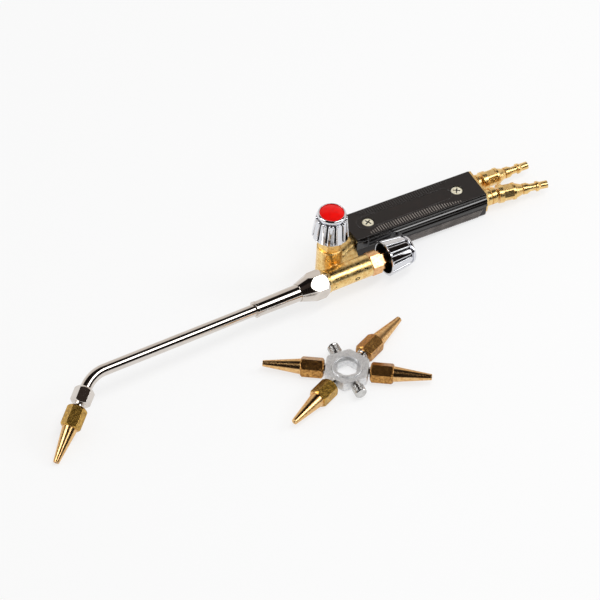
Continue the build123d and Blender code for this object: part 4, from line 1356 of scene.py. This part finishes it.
@dataclass
class Carrier:
    """The nozzle carrier's six threaded studs and the ring on its hub."""

    steel: Material
    plate: Material
    count: int = 6
    hub_face: float = 13.9
    root_radius: float = 2.3
    root_length: float = 4.0
    neck_radius: float = 3.2
    neck_length: float = 2.6
    neck_slope: float = 0.3
    thread_radius: float = 4.0
    thread_depth: float = 0.45
    thread_pitch: float = 1.25
    thread_shares: tuple[float, float, float, float] = (0.1, 0.35, 0.65, 0.9)
    end_chamfer: float = 0.6
    ring_inner: float = 8.4
    ring_outer: float = 10.4
    ring_slope: float = 0.25
    ring_height: float = 0.8
    ring_foot: float = 0.2

    def outline(self, length: float) -> Outline:
        """The half section of a stud, its thread as rings.

        Args:
            length: How far it stands out of the hub.

        Returns:
            Points of radius and height in millimetres.
        """
        crest, root = self.thread_radius, self.thread_radius - self.thread_depth
        points = [
            (0.0, -self.root_length),
            (self.root_radius, -self.root_length),
            (self.root_radius, 0.0),
            (self.neck_radius, 0.0),
            (self.neck_radius, self.neck_length - self.neck_slope),
            (root, self.neck_length),
        ]
        height = self.neck_length
        while height + self.thread_pitch < length - self.end_chamfer:
            for radius, share in zip((root, crest, crest, root), self.thread_shares):
                points.append((radius, height + share * self.thread_pitch))
            height += self.thread_pitch
        return points + [
            (crest, height + self.thread_shares[1] * self.thread_pitch),
            (crest, length - self.end_chamfer),
            (crest - self.end_chamfer, length),
            (0.0, length),
        ]

    def hub_ring(self, layout: Layout) -> None:
        """Raises a low ring on the hub's top face, round the hexagon hole.

        Args:
            layout: The frame with its joints and mounts.
        """
        axes = axes_along(layout.carrier_middle, UP, Vector((1, 0, 0)))
        _, high = axes.extent("carrier_hub", layout.frame)
        inner, outer = self.ring_inner, self.ring_outer
        points = [
            (inner, -self.ring_foot),
            (inner, 0.0),
            (inner + self.ring_slope, self.ring_height),
            (outer - self.ring_slope, self.ring_height),
            (outer, 0.0),
            (outer, -self.ring_foot),
        ]
        mesh = bmesh.new()
        spin_profile(mesh, [*points, points[0]], ROUND_STEPS)
        top = axes.moved(Vector((0, 0, high.z)))
        finish_piece(mesh, "hub_ring", top, [self.plate], Body.CARRIER, Slot.ZINC)

    def build(self, layout: Layout) -> None:
        """Builds the ring, and the studs in place of their plain node.

        Args:
            layout: The frame with its joints and mounts.
        """
        middle = layout.carrier_middle
        first = Vector(layout.mount(VACANT_STUDS[0])["axis"])
        _, high = axes_along(middle, first, UP).extent("carrier_studs", layout.frame)
        self.hub_ring(layout)
        for number in range(self.count):
            outward = Matrix.Rotation(math.tau * number / self.count, 3, "Z") @ first
            axes = axes_along(middle + outward * self.hub_face * MM, outward, UP)
            mesh = bmesh.new()
            spin_profile(mesh, self.outline(high.z / MM - self.hub_face), SMALL_STEPS)
            name = f"carrier_stud_{number + 1}"
            stud = finish_piece(mesh, name, axes, [self.steel], Body.CARRIER, Slot.CHROME)
            if number == 0:
                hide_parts("carrier_studs")


@dataclass
class Marks:
    """Two small stamped marks on the barrel of the valve body, a ring and a pit, both matt black as
    painted shade of the stamped hollows.
    """

    shade: Material
    ring_radius: float = 1.45
    ring_width: float = 0.6
    ring_along: float = 41.3
    pit_radius: float = 0.45
    pit_along: float = 25.0
    turn: float = 93.0
    barrel_radius: float = 7.5
    sink: float = 0.12
    height: float = 0.16
    stretch: Triple = (1.25, 0.85, 1.0)

    def build(self, layout: Layout) -> None:
        """Presses the marks into the barrel.

        Args:
            layout: The frame with its joints and mounts.
        """
        torch, turn = layout.torch, math.radians(self.turn)
        outward = torch.z * math.cos(turn) - torch.y * math.sin(turn)
        for name, along, radius in (
            ("ring_mark", self.ring_along, self.ring_radius),
            ("pit_mark", self.pit_along, self.pit_radius),
        ):
            spot = torch.x * along + outward * (self.barrel_radius - self.sink)
            axes = axes_along(torch.origin + spot * MM, outward, torch.x)
            inner = max(0.0, radius - self.ring_width)
            corners = ((inner, 0.0), (radius, 0.0), (radius, self.height), (inner, self.height))
            mesh = bmesh.new()
            spin_profile(mesh, [*corners, corners[0]], MARK_STEPS)
            bmesh.ops.scale(mesh, vec=self.stretch, verts=mesh.verts)
            finish_piece(mesh, name, axes, [self.shade], Body.TORCH, Slot.CAST_BRASS)


def main() -> None:
    """Loads the frame, dresses every sub-assembly and builds the studio."""
    logging.basicConfig(level=logging.INFO, format="%(name)s: %(message)s")
    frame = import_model()
    layout = Layout(frame)
    Studio().build()

    chrome, steel, zinc = CHROME.material(), STEEL.material(), ZINC.material()
    black, satin, yellow_zinc = BLACK_ABS.material(), SATIN_ABS.material(), YELLOW_ZINC.material()
    brass = TURNED_BRASS.material()
    dress(frame, chrome, "fuel_knob", "oxygen_knob", "carrier_studs")
    dress(frame, black, "handle_top_shell")
    dress(frame, satin, "handle_bottom_shell")
    dress(frame, yellow_zinc, "handle_screws")
    dress(frame, steel, "handle_nuts")
    dress(frame, zinc, "carrier_hub")
    dress(frame, brass, "fuel_gland_nut", "mixer_inlet", "injector", "rear_end_plate")
    for gas in ("fuel", "oxygen"):
        dress(frame, brass, f"{gas}_inlet", f"{gas}_hose_nut", f"{gas}_hose_tail")
        dress(frame, steel, f"{gas}_needle", f"{gas}_spindle", f"{gas}_knob_screw")
    for finish, nodes in (
        (NICKEL, ("mixing_tube", "mixer_sleeve", "nozzle_adapter", "union_nut")),
        (CAST_BRASS, ("valve_body",)),
        (GLAND_BRASS, ("oxygen_gland_nut",)),
        (PACKING, ("fuel_gland_packing", "oxygen_gland_packing")),
        (COPPER, ("fuel_pipe", "oxygen_pipe")),
        (RUBBER, ("mixer_seal",)),
        (RED_CAP, ("fuel_cap",)),
        (BLUE_CAP, ("oxygen_cap",)),
    ):
        dress(frame, finish.material(), *nodes)

    Nozzles().build(layout)
    # matt black painted shade for the knobs' insides and the stamped marks
    shade_black = SHADE_BLACK_ABS.material()
    Knob("fuel", Body.FUEL_KNOB, 238.0, [chrome, shade_black]).build(layout)
    Knob("oxygen", Body.OXYGEN_KNOB, 54.0, [chrome, shade_black]).build(layout)
    # mid grey painted highlight for the near top ribs and the side ribs
    HandleTrim(black, satin, RIB_HIGHLIGHT_ABS.material(), yellow_zinc).build(layout)
    Carrier(steel, zinc).build(layout)
    Marks(shade_black).build(layout)


if __name__ == "__main__":
    main()
